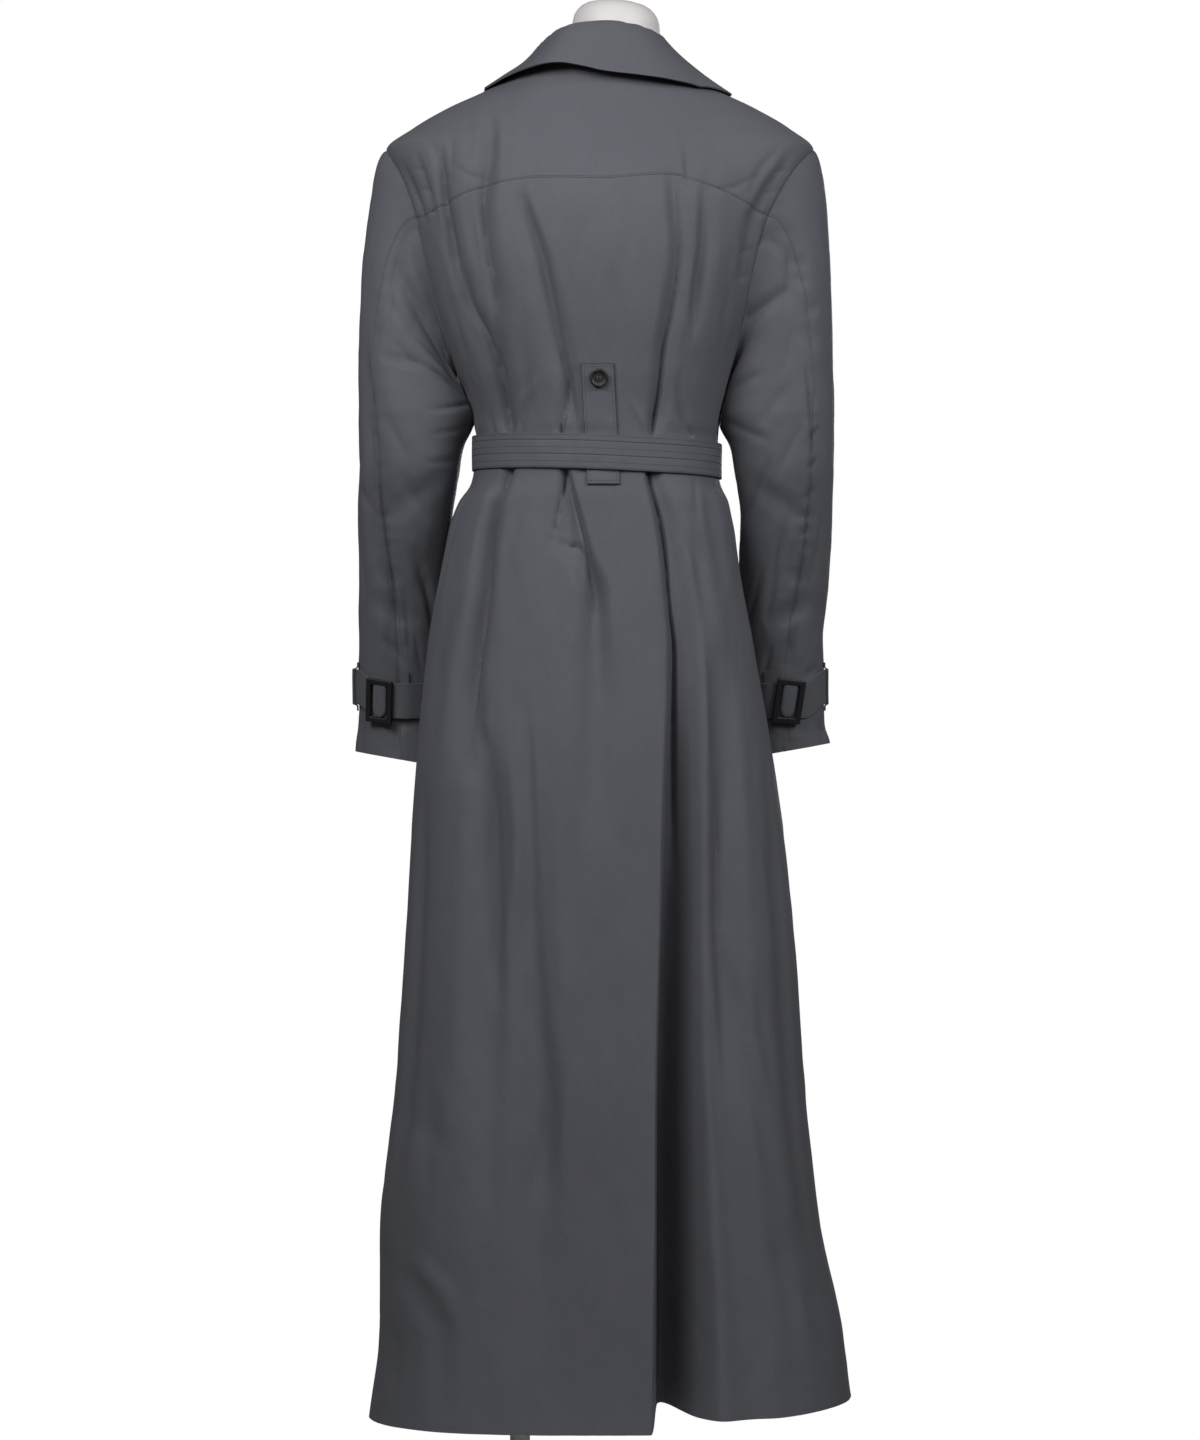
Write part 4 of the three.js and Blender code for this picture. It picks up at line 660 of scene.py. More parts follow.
def add(tree, kind, inputs=(), **settings):
    """Adds a node to a tree, sets its properties, and links or sets its inputs."""
    node = tree.nodes.new("ShaderNode" + kind)
    for key, value in settings.items():
        setattr(node, key, value)
    for key, value in dict(inputs).items():
        if isinstance(value, bpy.types.NodeSocket):
            tree.links.new(value, node.inputs[key])
        else:
            node.inputs[key].default_value = value
    return node


def new_material(name):
    """An empty node material and its tree."""
    material = bpy.data.materials.new(name)
    material.use_nodes = True
    material.node_tree.nodes.clear()
    return material, material.node_tree


def per_metre(size):
    """A texture's scale for a pattern whose grains are so many millimetres wide."""
    return 1 / (size * MM)


def cloth_material(name, colour, rows=0.0):
    """Closely woven cotton blend, nearly matt with a faint lustre: diagonal ribs, a dry slub that
    breaks them, soft cloudy tone, and a weak sheen at the turning edges. The real ribs are 0.5 mm
    apart and are drawn coarser, so that they show. rows, in metres, sinks a line of topstitching
    along the piece every so far across its width."""
    cloud_size, slub_size, crumple_size, rib_apart = 143, 2.381, 41.67, 1.415
    material, tree = new_material(name)
    cloth = add(tree, "UVMap", uv_map="cloth").outputs["UV"]
    place = add(tree, "TexCoord").outputs["Object"]
    cloud = add(tree, "TexNoise", {"Vector": place, "Scale": per_metre(cloud_size), "Detail": 3.0,
                                   "Roughness": 0.6})
    slub = add(tree, "TexNoise", {"Vector": place, "Scale": per_metre(slub_size), "Detail": 3.0,
                                  "Roughness": 0.6})
    crumple = add(tree, "TexNoise", {"Vector": place, "Scale": per_metre(crumple_size), "Detail": 4.0,
                                     "Roughness": 0.5})
    # Diagonal bands repeat every pi / 5 of the scaled x + y, which is root 2 times their distance
    ribs = add(tree, "TexWave", {"Vector": cloth, "Scale": math.pi / 5 / math.sqrt(2) * per_metre(rib_apart),
                                 "Distortion": 0.6, "Detail": 1.0}, bands_direction="DIAGONAL")
    tone = add(tree, "MapRange", {"Value": cloud.outputs["Fac"], "From Min": 0.3, "From Max": 0.7,
                                  "To Min": 0.95, "To Max": 1.05}).outputs["Result"]
    speck = add(tree, "MapRange", {"Value": slub.outputs["Fac"], "From Min": 0.3, "From Max": 0.7,
                                   "To Min": 0.95, "To Max": 1.05}).outputs["Result"]
    share = add(tree, "Math", {0: tone, 1: speck}, operation="MULTIPLY").outputs[0]
    tinted = add(tree, "VectorMath", {0: linear(colour)[:3], "Scale": share}, operation="SCALE")
    soft = add(tree, "Bump", {"Height": crumple.outputs["Fac"], "Strength": 0.35, "Distance": 0.0012})
    weave = add(tree, "Bump", {"Height": ribs.outputs["Fac"], "Normal": soft.outputs[0],
                               "Strength": 0.25, "Distance": 0.00012})
    last = weave
    if rows:
        across = add(tree, "SeparateXYZ", {0: cloth}).outputs["Y"]
        beat = add(tree, "Math", {0: across, 1: rows}, operation="DIVIDE")
        saw = add(tree, "Math", {0: beat.outputs[0], 1: 1.0}, operation="PINGPONG")
        groove = add(tree, "MapRange", {"Value": saw.outputs[0], "From Min": 0.0, "From Max": 0.16,
                                        "To Min": 0.0, "To Max": 1.0}, interpolation_type="SMOOTHSTEP")
        last = add(tree, "Bump", {"Height": groove.outputs["Result"], "Normal": weave.outputs[0],
                                  "Strength": 0.8, "Distance": 0.0005})
    shade = add(tree, "BsdfPrincipled", {
        "Base Color": tinted.outputs[0], "Normal": last.outputs[0], "Roughness": 0.66,
        "Specular IOR Level": 0.2, "Sheen Weight": 0.03, "Sheen Roughness": 0.4,
    })
    add(tree, "OutputMaterial", {"Surface": shade.outputs[0]})
    return material


def body_panel(name, turns, levels, side, edges, lift=0.0):
    """A panel of the body from grids of turns and heights."""
    outer = cloth_point(turns, levels)
    normals = grid_normals(outer, side)
    outer = outer + normals * (sunk_edges(outer, edges) + lift)[..., None]
    return shell(name, outer, normals, CLOTH, coat_cloth), outer, normals


# Charcoal shell cloth: nearly matt, with a faint lustre where a fold faces the light
coat_cloth = cloth_material("charcoal cotton blend gabardine", "515258")
rows = even_levels([HEM_Z, WAIST_LOW, WAIST_HIGH, ARMPIT_Z], [236, 18, 24])[:-1]
skirt_turns = back_turns(rows)
skirt_levels = np.repeat(rows[:, None], skirt_turns.shape[1], 1)
upper = ARMPIT_Z + (YOKE_END_Z - ARMPIT_Z) * (1 - (1 - np.linspace(0, 1, 61)) ** 1.25)
upper_turns = back_turns(upper)
tops = yoke_seam(section_point(upper_turns, upper[:, None])[..., 0]) - SEAM / 2
share = (upper[:, None] - ARMPIT_Z) / (YOKE_END_Z - ARMPIT_Z)
upper_levels = mix(ARMPIT_Z, tops, share)
back_panel, back_grid, back_normals = body_panel(
    "back_panel_cloth", np.concatenate([skirt_turns, upper_turns]),
    np.concatenate([skirt_levels, upper_levels]), 1, ("start", "end", "high"))
finish_piece(back_panel, "cloth", "back_panel")
hole = slice(len(rows), None)


def along_edge(grid, normals, edge, inside):
    """The line that lies a distance inside one edge of a grid, with its normals: each row, or
    each column for the low and the high edge, is walked from that edge by its length."""
    if edge in ("low", "high"):
        grid, normals = grid.transpose(1, 0, 2), normals.transpose(1, 0, 2)
    if edge in ("end", "high"):
        grid, normals = grid[:, ::-1], normals[:, ::-1]
    u = arc_lengths(grid)[0]
    i, k = np.arange(len(grid)), np.clip((u <= inside).sum(1) - 1, 0, grid.shape[1] - 2)
    t = np.clip((inside - u[i, k]) / np.maximum(u[i, k + 1] - u[i, k], 1e-6), 0, 1)[:, None]
    return mix(grid[i, k], grid[i, k + 1], t), unit(mix(normals[i, k], normals[i, k + 1], t))


def sew(name, lines, material, pitch=3.0, thick=0.42):
    """Rows of lockstitch: each stitch is a short bead of thread along its line, four-sided and
    pointed at both ends, half sunk in the cloth, with a fifth of the pitch open to the next."""
    points = []
    for line, normals in lines:
        at = np.concatenate([[0], np.cumsum(np.linalg.norm(np.diff(line, axis=0), axis=1))])
        s = np.arange(pitch / 2, at[-1], pitch)

        def on(values, s):
            """The line's values at distances along it."""
            return np.stack([np.interp(s, at, values[:, k]) for k in range(3)], -1)

        middle, up = on(line, s), unit(on(normals, s))
        way = unit(on(line, s + 0.6) - on(line, s - 0.6))
        side = np.cross(up, way)
        ring = np.stack([side, up, -side, -up], 1) * thick / 2
        middle, half = middle[:, None], way[:, None] * pitch * 0.4
        points.append(np.concatenate([middle - half, middle + ring - half * 0.7,
                                      middle + ring + half * 0.7, middle + half], 1))
    points = np.concatenate(points)
    base = 10 * np.arange(len(points))[:, None, None]
    k = np.arange(4)
    n = (k + 1) % 4
    tips = np.concatenate([np.stack([0 * k, 1 + n, 1 + k], 1), np.stack([0 * k + 9, 5 + k, 5 + n], 1)])
    sides = np.stack([1 + k, 1 + n, 5 + n, 5 + k], 1)
    faces = [(base + tips).reshape(-1, 3), (base + sides).reshape(-1, 4)]
    return finish_piece(make_mesh(name, points.reshape(-1, 3), faces, None, material, sharp=80), "cloth")


def plain_material(name, colour, roughness, grain, grit, metallic=0.0):
    """One surface with a fine uneven tone and roughness: grain is its share, and grit the size of
    its spots in mm."""
    material, tree = new_material(name)
    place = add(tree, "TexCoord").outputs["Object"]
    mottle = add(tree, "TexNoise", {"Vector": place, "Scale": per_metre(grit), "Detail": 4.0,
                                    "Roughness": 0.6})
    tone = add(tree, "MapRange", {"Value": mottle.outputs["Fac"], "From Min": 0.3, "From Max": 0.7,
                                  "To Min": 1 - grain, "To Max": 1 + grain}).outputs["Result"]
    rough = add(tree, "Math", {0: tone, 1: roughness}, operation="MULTIPLY").outputs[0]
    tinted = add(tree, "VectorMath", {0: linear(colour)[:3], "Scale": tone}, operation="SCALE")
    bump = add(tree, "Bump", {"Height": mottle.outputs["Fac"], "Strength": 0.15, "Distance": 0.0002})
    shade = add(tree, "BsdfPrincipled", {"Base Color": tinted.outputs[0], "Roughness": rough,
                                         "Metallic": metallic, "Normal": bump.outputs[0]})
    add(tree, "OutputMaterial", {"Surface": shade.outputs[0]})
    return material


# Dark thread, a little smoother than the cloth: its rows are thin darker lines. The dark colour is
# partly the thread's own and partly painted shade, the shade in the stitch holes and along seams.
thread = plain_material("charcoal polyester thread with painted stitch shade", "2e2f33", 0.5, grain=0.1, grit=1.11)
side_levels = np.linspace(440, 960, 130)
side_line = cloth(turn_at(columns(SIDE_ROW)[0](side_levels), side_levels), side_levels)
back_rows = sew("back_panel_stitches", [
    along_edge(back_grid[hole], back_normals[hole], edge, inside)
    for edge in ("start", "end") for inside in DOUBLE_ROW
] + [side_line], thread)

# Back yoke
# The same gabardine across the shoulders, from the yoke seam to the neckline. It is sewn to the
# back panel along a seam that bows up in the middle, and stitched beside its armholes.
NECK_Z, NECK_BACK_DROP = 1460, 12
# One row of topstitching over the yoke seam
YOKE_ROW = 1.6
levels = even_levels([YOKE_END_Z, TIP_Z, NECK_Z], [40, 44])
base = back_turns(YOKE_END_Z)
gap = np.where(levels >= TIP_Z, SEAM / 2 / section_left(levels), 0)
right, left = ((armhole_turn(levels, widest) - gap) / armhole_turn(YOKE_END_Z, widest)
               for widest in (ARMHOLE_BACK[-1], ARMHOLE_BACK[1]))
yoke_turns = base[None, :] * np.where(base[None, :] < 0, right[:, None], left[:, None])
low = yoke_seam(section_point(base, YOKE_END_Z)[..., 0]) + SEAM / 2
high = NECK_Z - NECK_BACK_DROP * np.cos(yoke_turns) ** 2
yoke_share = (levels[:, None] - YOKE_END_Z) / (NECK_Z - YOKE_END_Z)
back_yoke, yoke_grid, yoke_normals = body_panel(
    "back_yoke_cloth", yoke_turns, mix(low[None, :], high, yoke_share), 1, ("start", "end", "low"))
finish_piece(back_yoke, "cloth", "back_yoke")
beside = levels <= TIP_Z
yoke_rows = sew("back_yoke_stitches", [along_edge(yoke_grid, yoke_normals, "low", YOKE_ROW)] + [
    along_edge(yoke_grid[beside], yoke_normals[beside], edge, inside)
    for edge in ("start", "end") for inside in DOUBLE_ROW
], thread)

# Two fronts
# The same gabardine, a panel a side from the side seam to the front edge. The wearer's right one
# laps over the left one, and above the break their edges turn back into the lapels.
ARMHOLE_FRONT = math.radians(24)
# How far a front goes past the centre, where its edge turns back, the step under it, and how far
# past the centre its edge is at the neck
LAP, BREAK_Z, UNDER_LAP, EDGE_TOP = 50, 1180, 3.4, -56
# One row of topstitching inside a free edge
EDGE_ROW = 5


def spread(count, even):
    """Shares 0 to 1 in count steps, closer together at both ends; even is the end step's share
    of the mean step."""
    t = np.linspace(0, 1, count + 1)
    return t - (1 - even) * np.sin(2 * np.pi * t) / (2 * np.pi)


def edge_place(z):
    """Place across the front of a front edge: straight up to the break, then slanting over."""
    return np.where(z <= BREAK_Z, LAP, mix(LAP, EDGE_TOP, (z - BREAK_Z) / (NECK_Z - BREAK_Z)))


def edge_turn(z, side):
    """Turn of a front edge; side is 1 for the wearer's left front."""
    turn = turn_at(-side * edge_place(z), z, True)
    return turn if side > 0 else turn - 2 * np.pi


def under_step(turn, z, side):
    """How far the lower front steps in under the other one."""
    place = section_point(turn, z)
    if side < 0:
        return np.zeros(place.shape[:-1])
    share = eased(edge_place(z) + 32 - place[..., 0], 0, 22)
    return -UNDER_LAP * share * (place[..., 1] < 0)


def front_cloth(turn, z, side, lift=0.0):
    """A point of a front, with its normal."""
    turn, z = np.broadcast_arrays(np.asarray(turn, float), np.asarray(z, float))
    return cloth(turn, z, lift + under_step(turn, z, side))


for word, side in (("left", 1), ("right", -1)):
    rows = even_levels([HEM_Z, WAIST_LOW, ARMPIT_Z, TIP_Z, NECK_Z], [168, 36, 68, 28])
    gap = np.where((rows > ARMPIT_Z) & (rows < TIP_Z), 0, SEAM / 2 / section_left(rows))
    start = np.pi - armhole_turn(rows, ARMHOLE_FRONT) + gap
    shares = spread(112, 0.5)
    turns = side * mix(start[:, None], np.abs(edge_turn(rows, side))[:, None], shares[None, :])
    levels = np.repeat(rows[:, None], len(shares), 1)
    piece, grid, normals = body_panel(f"front_{word}_cloth", turns, levels, side, ("start",),
                                      lift=under_step(turns, levels, side))
    finish_piece(piece, "cloth", f"front_{word}")
    low = rows <= BREAK_Z
    sewn = sew(f"front_{word}_stitches", [along_edge(grid[low], normals[low], "end", EDGE_ROW)], thread)

# Sleeves: an upper and an under sleeve on each side
# The same gabardine, two pieces a side, sewn down the back of the sleeve and inside its front, and
# set into the armhole with a rounded cap. Creases gather at the bend of the elbow and under the
# arm, and the cuff opens a little below its strap.
SLEEVES = {
  "left": [
    [1110, 192, -4, 50, 52, 42], [1065, 191, -9, 50, 52, 48], [1005, 196, -26, 47, 49, 60],
    [945, 197, -46, 46, 47, 74], [885, 198, -64, 46, 46, 82], [845, 199, -76, 47, 46, 85],
    [805, 199, -86, 47, 46, 86], [768, 197, -94, 52, 50, 88],
  ],
  "right": [
    [1110, 184, -4, 50, 52, 56], [1065, 184, -9, 50, 52, 57], [1005, 187, -26, 46, 49, 64],
    [945, 185, -46, 46, 47, 72], [885, 181, -66, 46, 46, 80], [845, 181, -80, 47, 46, 84],
    [805, 182, -90, 47, 46, 86], [768, 183, -98, 52, 50, 88],
  ],
}  # z; centre x and y; half sizes across and deep; place of the back seam in degrees
ARMHOLE_ROWS = [1150, 1157, 1172, 1200, 1235, 1270, 1302, 1332, 1356, 1369, 1374]
# The gap at the armhole. A ring has twice HALF_RING parts, each FINE columns wide, and its two
# seams lie at whole parts
ARMHOLE_SPACE, HALF_RING, BACK_SEAM, FRONT_SEAM, FINE = 0.2, 10, 6, 17, 8
# The cuff's edge, how far it tilts and shifts, and the height from which its rows lie closer
CUFF_Z, CUFF_TILT, CUFF_SHIFT, CUFF_TOP_Z = 768, 9, {1: -4, -1: 4.5}, 845
# Creases by side: (degrees, z) at both ends, half width and depth. 0 degrees is the outer side,
# 90 the back and 180 the inner side.
SLEEVE_CREASES = {
  "left": [
    ((46, 1310), (60, 1206), 9, -3.5), ((46, 1262), (164, 1120), 12, -6),
    ((60, 1220), (154, 1128), 8, -3.5), ((56, 1166), (104, 1156), 6, -3), ((96, 1160), (162, 1122), 7, -4),
    ((104, 1110), (165, 1122), 5, -2.6), ((112, 1088), (172, 1098), 5, -2),
    ((60, 1000), (158, 1062), 20, -2.5), ((-60, 1120), (-150, 1075), 14, -5),
    ((40, 930), (110, 900), 18, -2.5), ((46, 1150), (52, 1060), 7, -3), ((36, 1120), (44, 960), 10, -3),
    ((52, 1060), (84, 900), 8, -3), ((100, 980), (140, 900), 12, -3), ((60, 890), (96, 860), 8, -2),
    ((20, 1040), (44, 1012), 9, -2), ((-20, 1100), (-60, 1050), 10, -3),
    ((-110, 1060), (-160, 1030), 9, -3), ((-90, 980), (-150, 1000), 12, -3),
    ((-40, 1180), (-90, 1130), 12, -4), ((70, 1240), (110, 1190), 12, -2.5), ((80, 810), (84, 772), 6, -2),
    ((118, 808), (128, 770), 7, -2.5), ((150, 808), (160, 772), 7, -2), ((30, 806), (24, 772), 8, -2),
    ((-60, 806), (-66, 770), 9, -3), ((60, 1330), (96, 1270), 8, -1.8), ((84, 1300), (120, 1240), 7, -1.6),
    ((50, 1280), (78, 1220), 9, -1.6), ((110, 1060), (160, 1064), 6, -2.2),
    ((84, 1050), (124, 1000), 12, -1.6), ((64, 1110), (92, 1060), 10, -1.2),
    ((120, 950), (136, 880), 9, -2.4), ((92, 940), (100, 870), 8, -1.8), ((66, 960), (80, 900), 8, -1.6),
    ((104, 900), (116, 850), 7, -1.6), ((70, 1180), (104, 1150), 8, -2.2), ((20, 980), (34, 930), 8, -1.6),
  ],
  "right": [
    ((84, 1306), (56, 1250), 8, -2.2), ((54, 1280), (80, 1206), 9, -3), ((64, 1236), (160, 1176), 10, -5),
    ((104, 1150), (150, 1128), 9, -2), ((104, 1080), (174, 1112), 10, -2.5),
    ((60, 1000), (150, 1050), 20, -2.5), ((-60, 1120), (-150, 1075), 14, -5),
    ((40, 930), (110, 900), 18, -2.5), ((64, 1160), (56, 1070), 5, -2.5), ((50, 1130), (60, 1112), 5, -2),
    ((46, 1096), (62, 1082), 5, -2), ((48, 1066), (64, 1052), 5, -2), ((52, 1036), (70, 1022), 6, -2),
    ((58, 1000), (78, 984), 7, -2), ((120, 1040), (160, 1000), 12, -2), ((96, 1010), (110, 900), 9, -3.5),
    ((40, 1190), (62, 1172), 6, -1.8), ((38, 1220), (60, 1206), 6, -1.8), ((70, 900), (84, 850), 8, -2.5),
    ((-20, 1100), (-60, 1050), 10, -3), ((-110, 1060), (-160, 1030), 9, -3),
    ((-90, 980), (-150, 1000), 12, -3), ((-40, 1180), (-90, 1130), 12, -4), ((34, 860), (60, 846), 8, -2),
    ((80, 810), (84, 772), 6, -2), ((118, 808), (128, 770), 7, -2.5), ((30, 806), (24, 772), 8, -2.5),
    ((-60, 806), (-66, 770), 9, -3), ((60, 1320), (100, 1262), 8, -1.8), ((80, 1286), (124, 1236), 7, -2),
    ((46, 1270), (70, 1216), 8, -1.6), ((84, 1140), (112, 1096), 7, -2.2), ((70, 1100), (104, 1040), 8, -2),
    ((104, 1066), (130, 1030), 7, -2), ((84, 1020), (100, 960), 8, -2), ((120, 960), (140, 890), 9, -2.2),
    ((66, 970), (76, 900), 7, -1.8), ((100, 880), (112, 845), 7, -1.6), ((40, 1010), (52, 940), 8, -1.6),
    ((76, 1190), (90, 1150), 7, -1.8),
  ],
}
# A fold that runs down each sleeve, by side. Columns: z; its degrees; depth on its outer side
SLEEVE_STEPS = {
  "left": [
    [1190, 34, 0], [1140, 42, -3.5], [1070, 52, -6], [1005, 62, -6.5], [925, 79, -5.5],
    [860, 90, -3], [815, 96, 0],
  ],
  "right": [
    [1150, 66, 0], [1100, 58, -1.5], [1030, 62, -2.5], [960, 70, -2.5], [880, 78, -2], [820, 84, 0],
  ],
}
# Where the sleeves are pressed to the sides over the belt. Columns: z; how far
PRESSED = [[1225, 0], [1190, 7], [1150, 16], [1114, 20], [1095, 13], [1080, 5], [1061, 1], [1041, 0]]


def body_reach(y, z, side):
    """How far the plain body reaches to one side at a depth y."""
    across = (section_left if side > 0 else section_right)(z)
    along = np.where(y > 0, section_back(z), section_front(z))
    power = section_power(z)
    return across * np.maximum(1 - np.minimum(np.abs(y / along), 1) ** power, 0) ** (1 / power)


def press(points, degrees, z, side):
    """Sleeve points moved in towards the body on their inner side, as far as the body lets them."""
    clear = 1.8
    way = np.maximum(-np.cos(np.radians(degrees)), 0) ** 0.8
    free = side * points[..., 0]
    body = np.minimum(body_reach(points[..., 1], z, side) + clear, free)
    pressed = free - columns(PRESSED)[0](z) * way
    points[..., 0] = side * np.where(way > 0, np.maximum(pressed, body), pressed)
    return points


def ring_degrees(seam):
    """Degrees of a ring's columns, with the seams at their own columns."""
    j = np.arange(2 * HALF_RING * FINE) / FINE
    seam = np.asarray(seam, float)[..., None]
    under = mix(180, seam, j / BACK_SEAM)
    upper = mix(seam, 0, (j - BACK_SEAM) / (HALF_RING - BACK_SEAM))
    return np.where(j <= BACK_SEAM, under, np.where(j <= HALF_RING, upper, -18 * (j - HALF_RING)))


def sleeve_creases(word, degrees, z):
    """Sum of the sleeve's creases, half a sine along each: a crease line across a narrow one and
    cos squared across a wide one. Small puckers run across the back seam, uneven in depth."""
    seam = columns(SLEEVES[word])[4](z)
    pull = np.maximum(noise(z / 8, degrees / 30, 61), -0.2) + 0.5 * noise(z / 7 + 5, degrees / 18, 62)
    total = -1.0 * pull * np.exp(-(((degrees - seam - 3) / 13) ** 2))
    line, drop = (f(z) for f in columns(SLEEVE_STEPS[word]))
    outside = (line - degrees) * 50 * math.pi / 180
    total = total + drop * np.where(outside > 0, np.cos(np.pi / 2 * np.clip(outside / 26, 0, 1)) ** 2,
                                    (1 - np.clip(-outside / 4, 0, 1)) ** 1.6)
    px = np.radians(degrees) * 50
    for (da, az), (db, bz), half, depth in SLEEVE_CREASES[word]:
        ax, bx = math.radians(da) * 50, math.radians(db) * 50
        t = ((px - ax) * (bx - ax) + (z - az) * (bz - az)) / ((bx - ax) ** 2 + (bz - az) ** 2)
        off = np.clip(np.hypot(px - mix(ax, bx, t), z - mix(az, bz, t)) / half, 0, 1)
        profile = mix(np.cos(np.pi / 2 * off) ** 2, (1 - off) ** 1.6, eased(14 - half, 0, 4))
        total += 1.1 * depth * profile * np.sin(np.pi * np.clip(t, 0, 1)) ** 0.8
    return total


def sleeve_swell(degrees, z, seed):
    """Slow unevenness of the sleeve's cloth, with a finer ripple that runs across it."""
    u = np.cos(np.radians(degrees)) * 50
    w = np.sin(np.radians(degrees)) * 50
    return (1.2 * noise(u / 30 + 9, (z + w) / 70, seed) + 0.7 * noise((w - u) / 17 + 4, z / 34, seed + 1)
            + 0.25 * noise(u / 7, (z - w) / 11, seed + 2))


def sleeve_grid(word, side):
    """Rings from the armhole over the cap down to the cuff, with normals. Two rings of seam
    allowance lie inside the body's cloth, and the cap's rings go from the armhole to the first row
    of the table by a quarter turn of sine and cosine."""
    x_at, y_at, across_at, deep_at, seam_at = columns(SLEEVES[word])
    j = np.arange(2 * HALF_RING * FINE) / FINE
    z = np.interp(np.where(j <= HALF_RING, j, 2 * HALF_RING - j), np.arange(11), ARMHOLE_ROWS)
    edge = np.where(j <= HALF_RING, armhole_turn(z, ARMHOLE_BACK[side]),
                    np.pi - armhole_turn(z, ARMHOLE_FRONT))
    radius = np.linalg.norm(section_point(edge * side, z)[:, :2], axis=1)
    round_way, rise = (np.pi / 2 - edge) * radius, (ARMPIT_Z + TIP_Z) / 2 - z
    step = ARMHOLE_SPACE / np.hypot(round_way, rise)
    hole, facing = cloth(side * (edge + round_way * step / radius), z + rise * step, ARMHOLE_SPACE)
    towards = np.where(z > 1260, -0.7, 0.7) * eased(np.abs(z - 1260), 0, 90)
    inward = np.stack([np.full(len(z), -side * 0.7), 0 * z, towards], -1)
    tuck = [hole + inward * far - facing * (CLOTH + 0.5) * deep
            for far, deep in ((4.5, 1.15), (0.6, 0.9))]
    first = float(SLEEVES[word][0][0])
    levels = even_levels([first, CUFF_TOP_Z, CUFF_Z], [91, 33])[1:]

    def ring(z, sunk):
        """Rings at heights: ellipses moved by creases and swells, and tilted at the cuff."""
        degrees = ring_degrees(seam_at(z))
        z = z[:, None]
        a = np.radians(degrees)
        sink = sunk * (sleeve_creases(word, degrees, z) + sleeve_swell(degrees, z, 11 + side))
        x = x_at(z) + (across_at(z) + sink) * np.cos(a)
        y = y_at(z) + (deep_at(z) + sink) * np.sin(a)
        tilt = (CUFF_TILT * np.cos(a) + CUFF_SHIFT[side]) * eased(805 - z, 0, 805 - CUFF_Z)
        return press(np.stack([side * x, y, z + tilt], -1), degrees, z, side)

    degrees = ring_degrees(seam_at(first))
    tube = np.stack([side * (x_at(first) + across_at(first) * np.cos(np.radians(degrees))),
                     y_at(first) + deep_at(first) * np.sin(np.radians(degrees)), first + 0 * degrees], -1)
    t = np.linspace(0, np.pi / 2, 47)[1:, None]
    cap = np.stack([mix(hole[:, 0], tube[:, 0], np.sin(t)), mix(hole[:, 1], tube[:, 1], np.sin(t)),
                    mix(hole[:, 2], tube[:, 2], 1 - np.cos(t))], -1)
    degrees = ring_degrees(seam_at(first))[None]
    ease = eased(np.sin(t), 0.05, 0.4)
    sink = sleeve_creases(word, degrees, cap[..., 2])
    sink = sink + ease * sleeve_swell(degrees, cap[..., 2], 11 + side)
    sink = sink - 0.9 * (1 - ease) * (0.5 + 0.5 * np.sin(np.radians(degrees) * 23)) * np.sin(2 * t)
    cap = cap + np.stack([side * sink * np.cos(np.radians(degrees)), sink * np.sin(np.radians(degrees)),
                          0 * sink], -1)
    low = eased(np.sin(t), 0.3, 0.9)
    cap = mix(cap, press(cap.copy(), degrees, cap[..., 2], side), low[..., None])
    points = np.concatenate([np.array(tuck), hole[None], cap, ring(levels, 1)])
    return points, grid_normals(points, -side, closed=True)


for word, side in (("left", 1), ("right", -1)):
    ring_points, ring_normals = sleeve_grid(word, side)
    for part, first, last in (("upper", BACK_SEAM, FRONT_SEAM), ("under", FRONT_SEAM, BACK_SEAM + 20)):
        run = np.arange(first * FINE, last * FINE + 1) % (2 * HALF_RING * FINE)
        outer, normals = ring_points[:, run].copy(), ring_normals[:, run]
        outer[:, 0] += unit(outer[:, 1] - outer[:, 0]) * SEAM / 2
        outer[:, -1] += unit(outer[:, -2] - outer[:, -1]) * SEAM / 2
        outer += normals * sunk_edges(outer, ("start", "end"))[..., None]
        piece = shell(f"sleeve_{word}_{part}_cloth", outer, normals, CLOTH, coat_cloth)
        finish_piece(piece, "cloth", f"sleeve_{word}_{part}")
        sewn = sew(f"sleeve_{word}_{part}_stitches", [along_edge(outer, normals, "start", 2)], thread)


def sleeve_skin(side, degrees, z, lift):
    """A point on the outside of a sleeve's plain tube at a lift, with its normal."""
    x_at, y_at, across_at, deep_at, _ = columns(SLEEVES["left" if side > 0 else "right"])

    def point(angle, z):
        """A point of the plain tube: an ellipse at each height."""
        a = np.radians(angle)
        x = x_at(z) + across_at(z) * np.cos(a)
        y = y_at(z) + deep_at(z) * np.sin(a)
        return np.stack([side * x, y, z + 0 * x], -1)

    degrees, z = np.broadcast_arrays(np.asarray(degrees, float), np.asarray(z, float))
    around = point(degrees + 1, z) - point(degrees - 1, z)
    normal = unit(np.cross(around, point(degrees, z + 2) - point(degrees, z - 2))) * side
    return point(degrees, z) + normal * np.asarray(lift)[..., None], normal


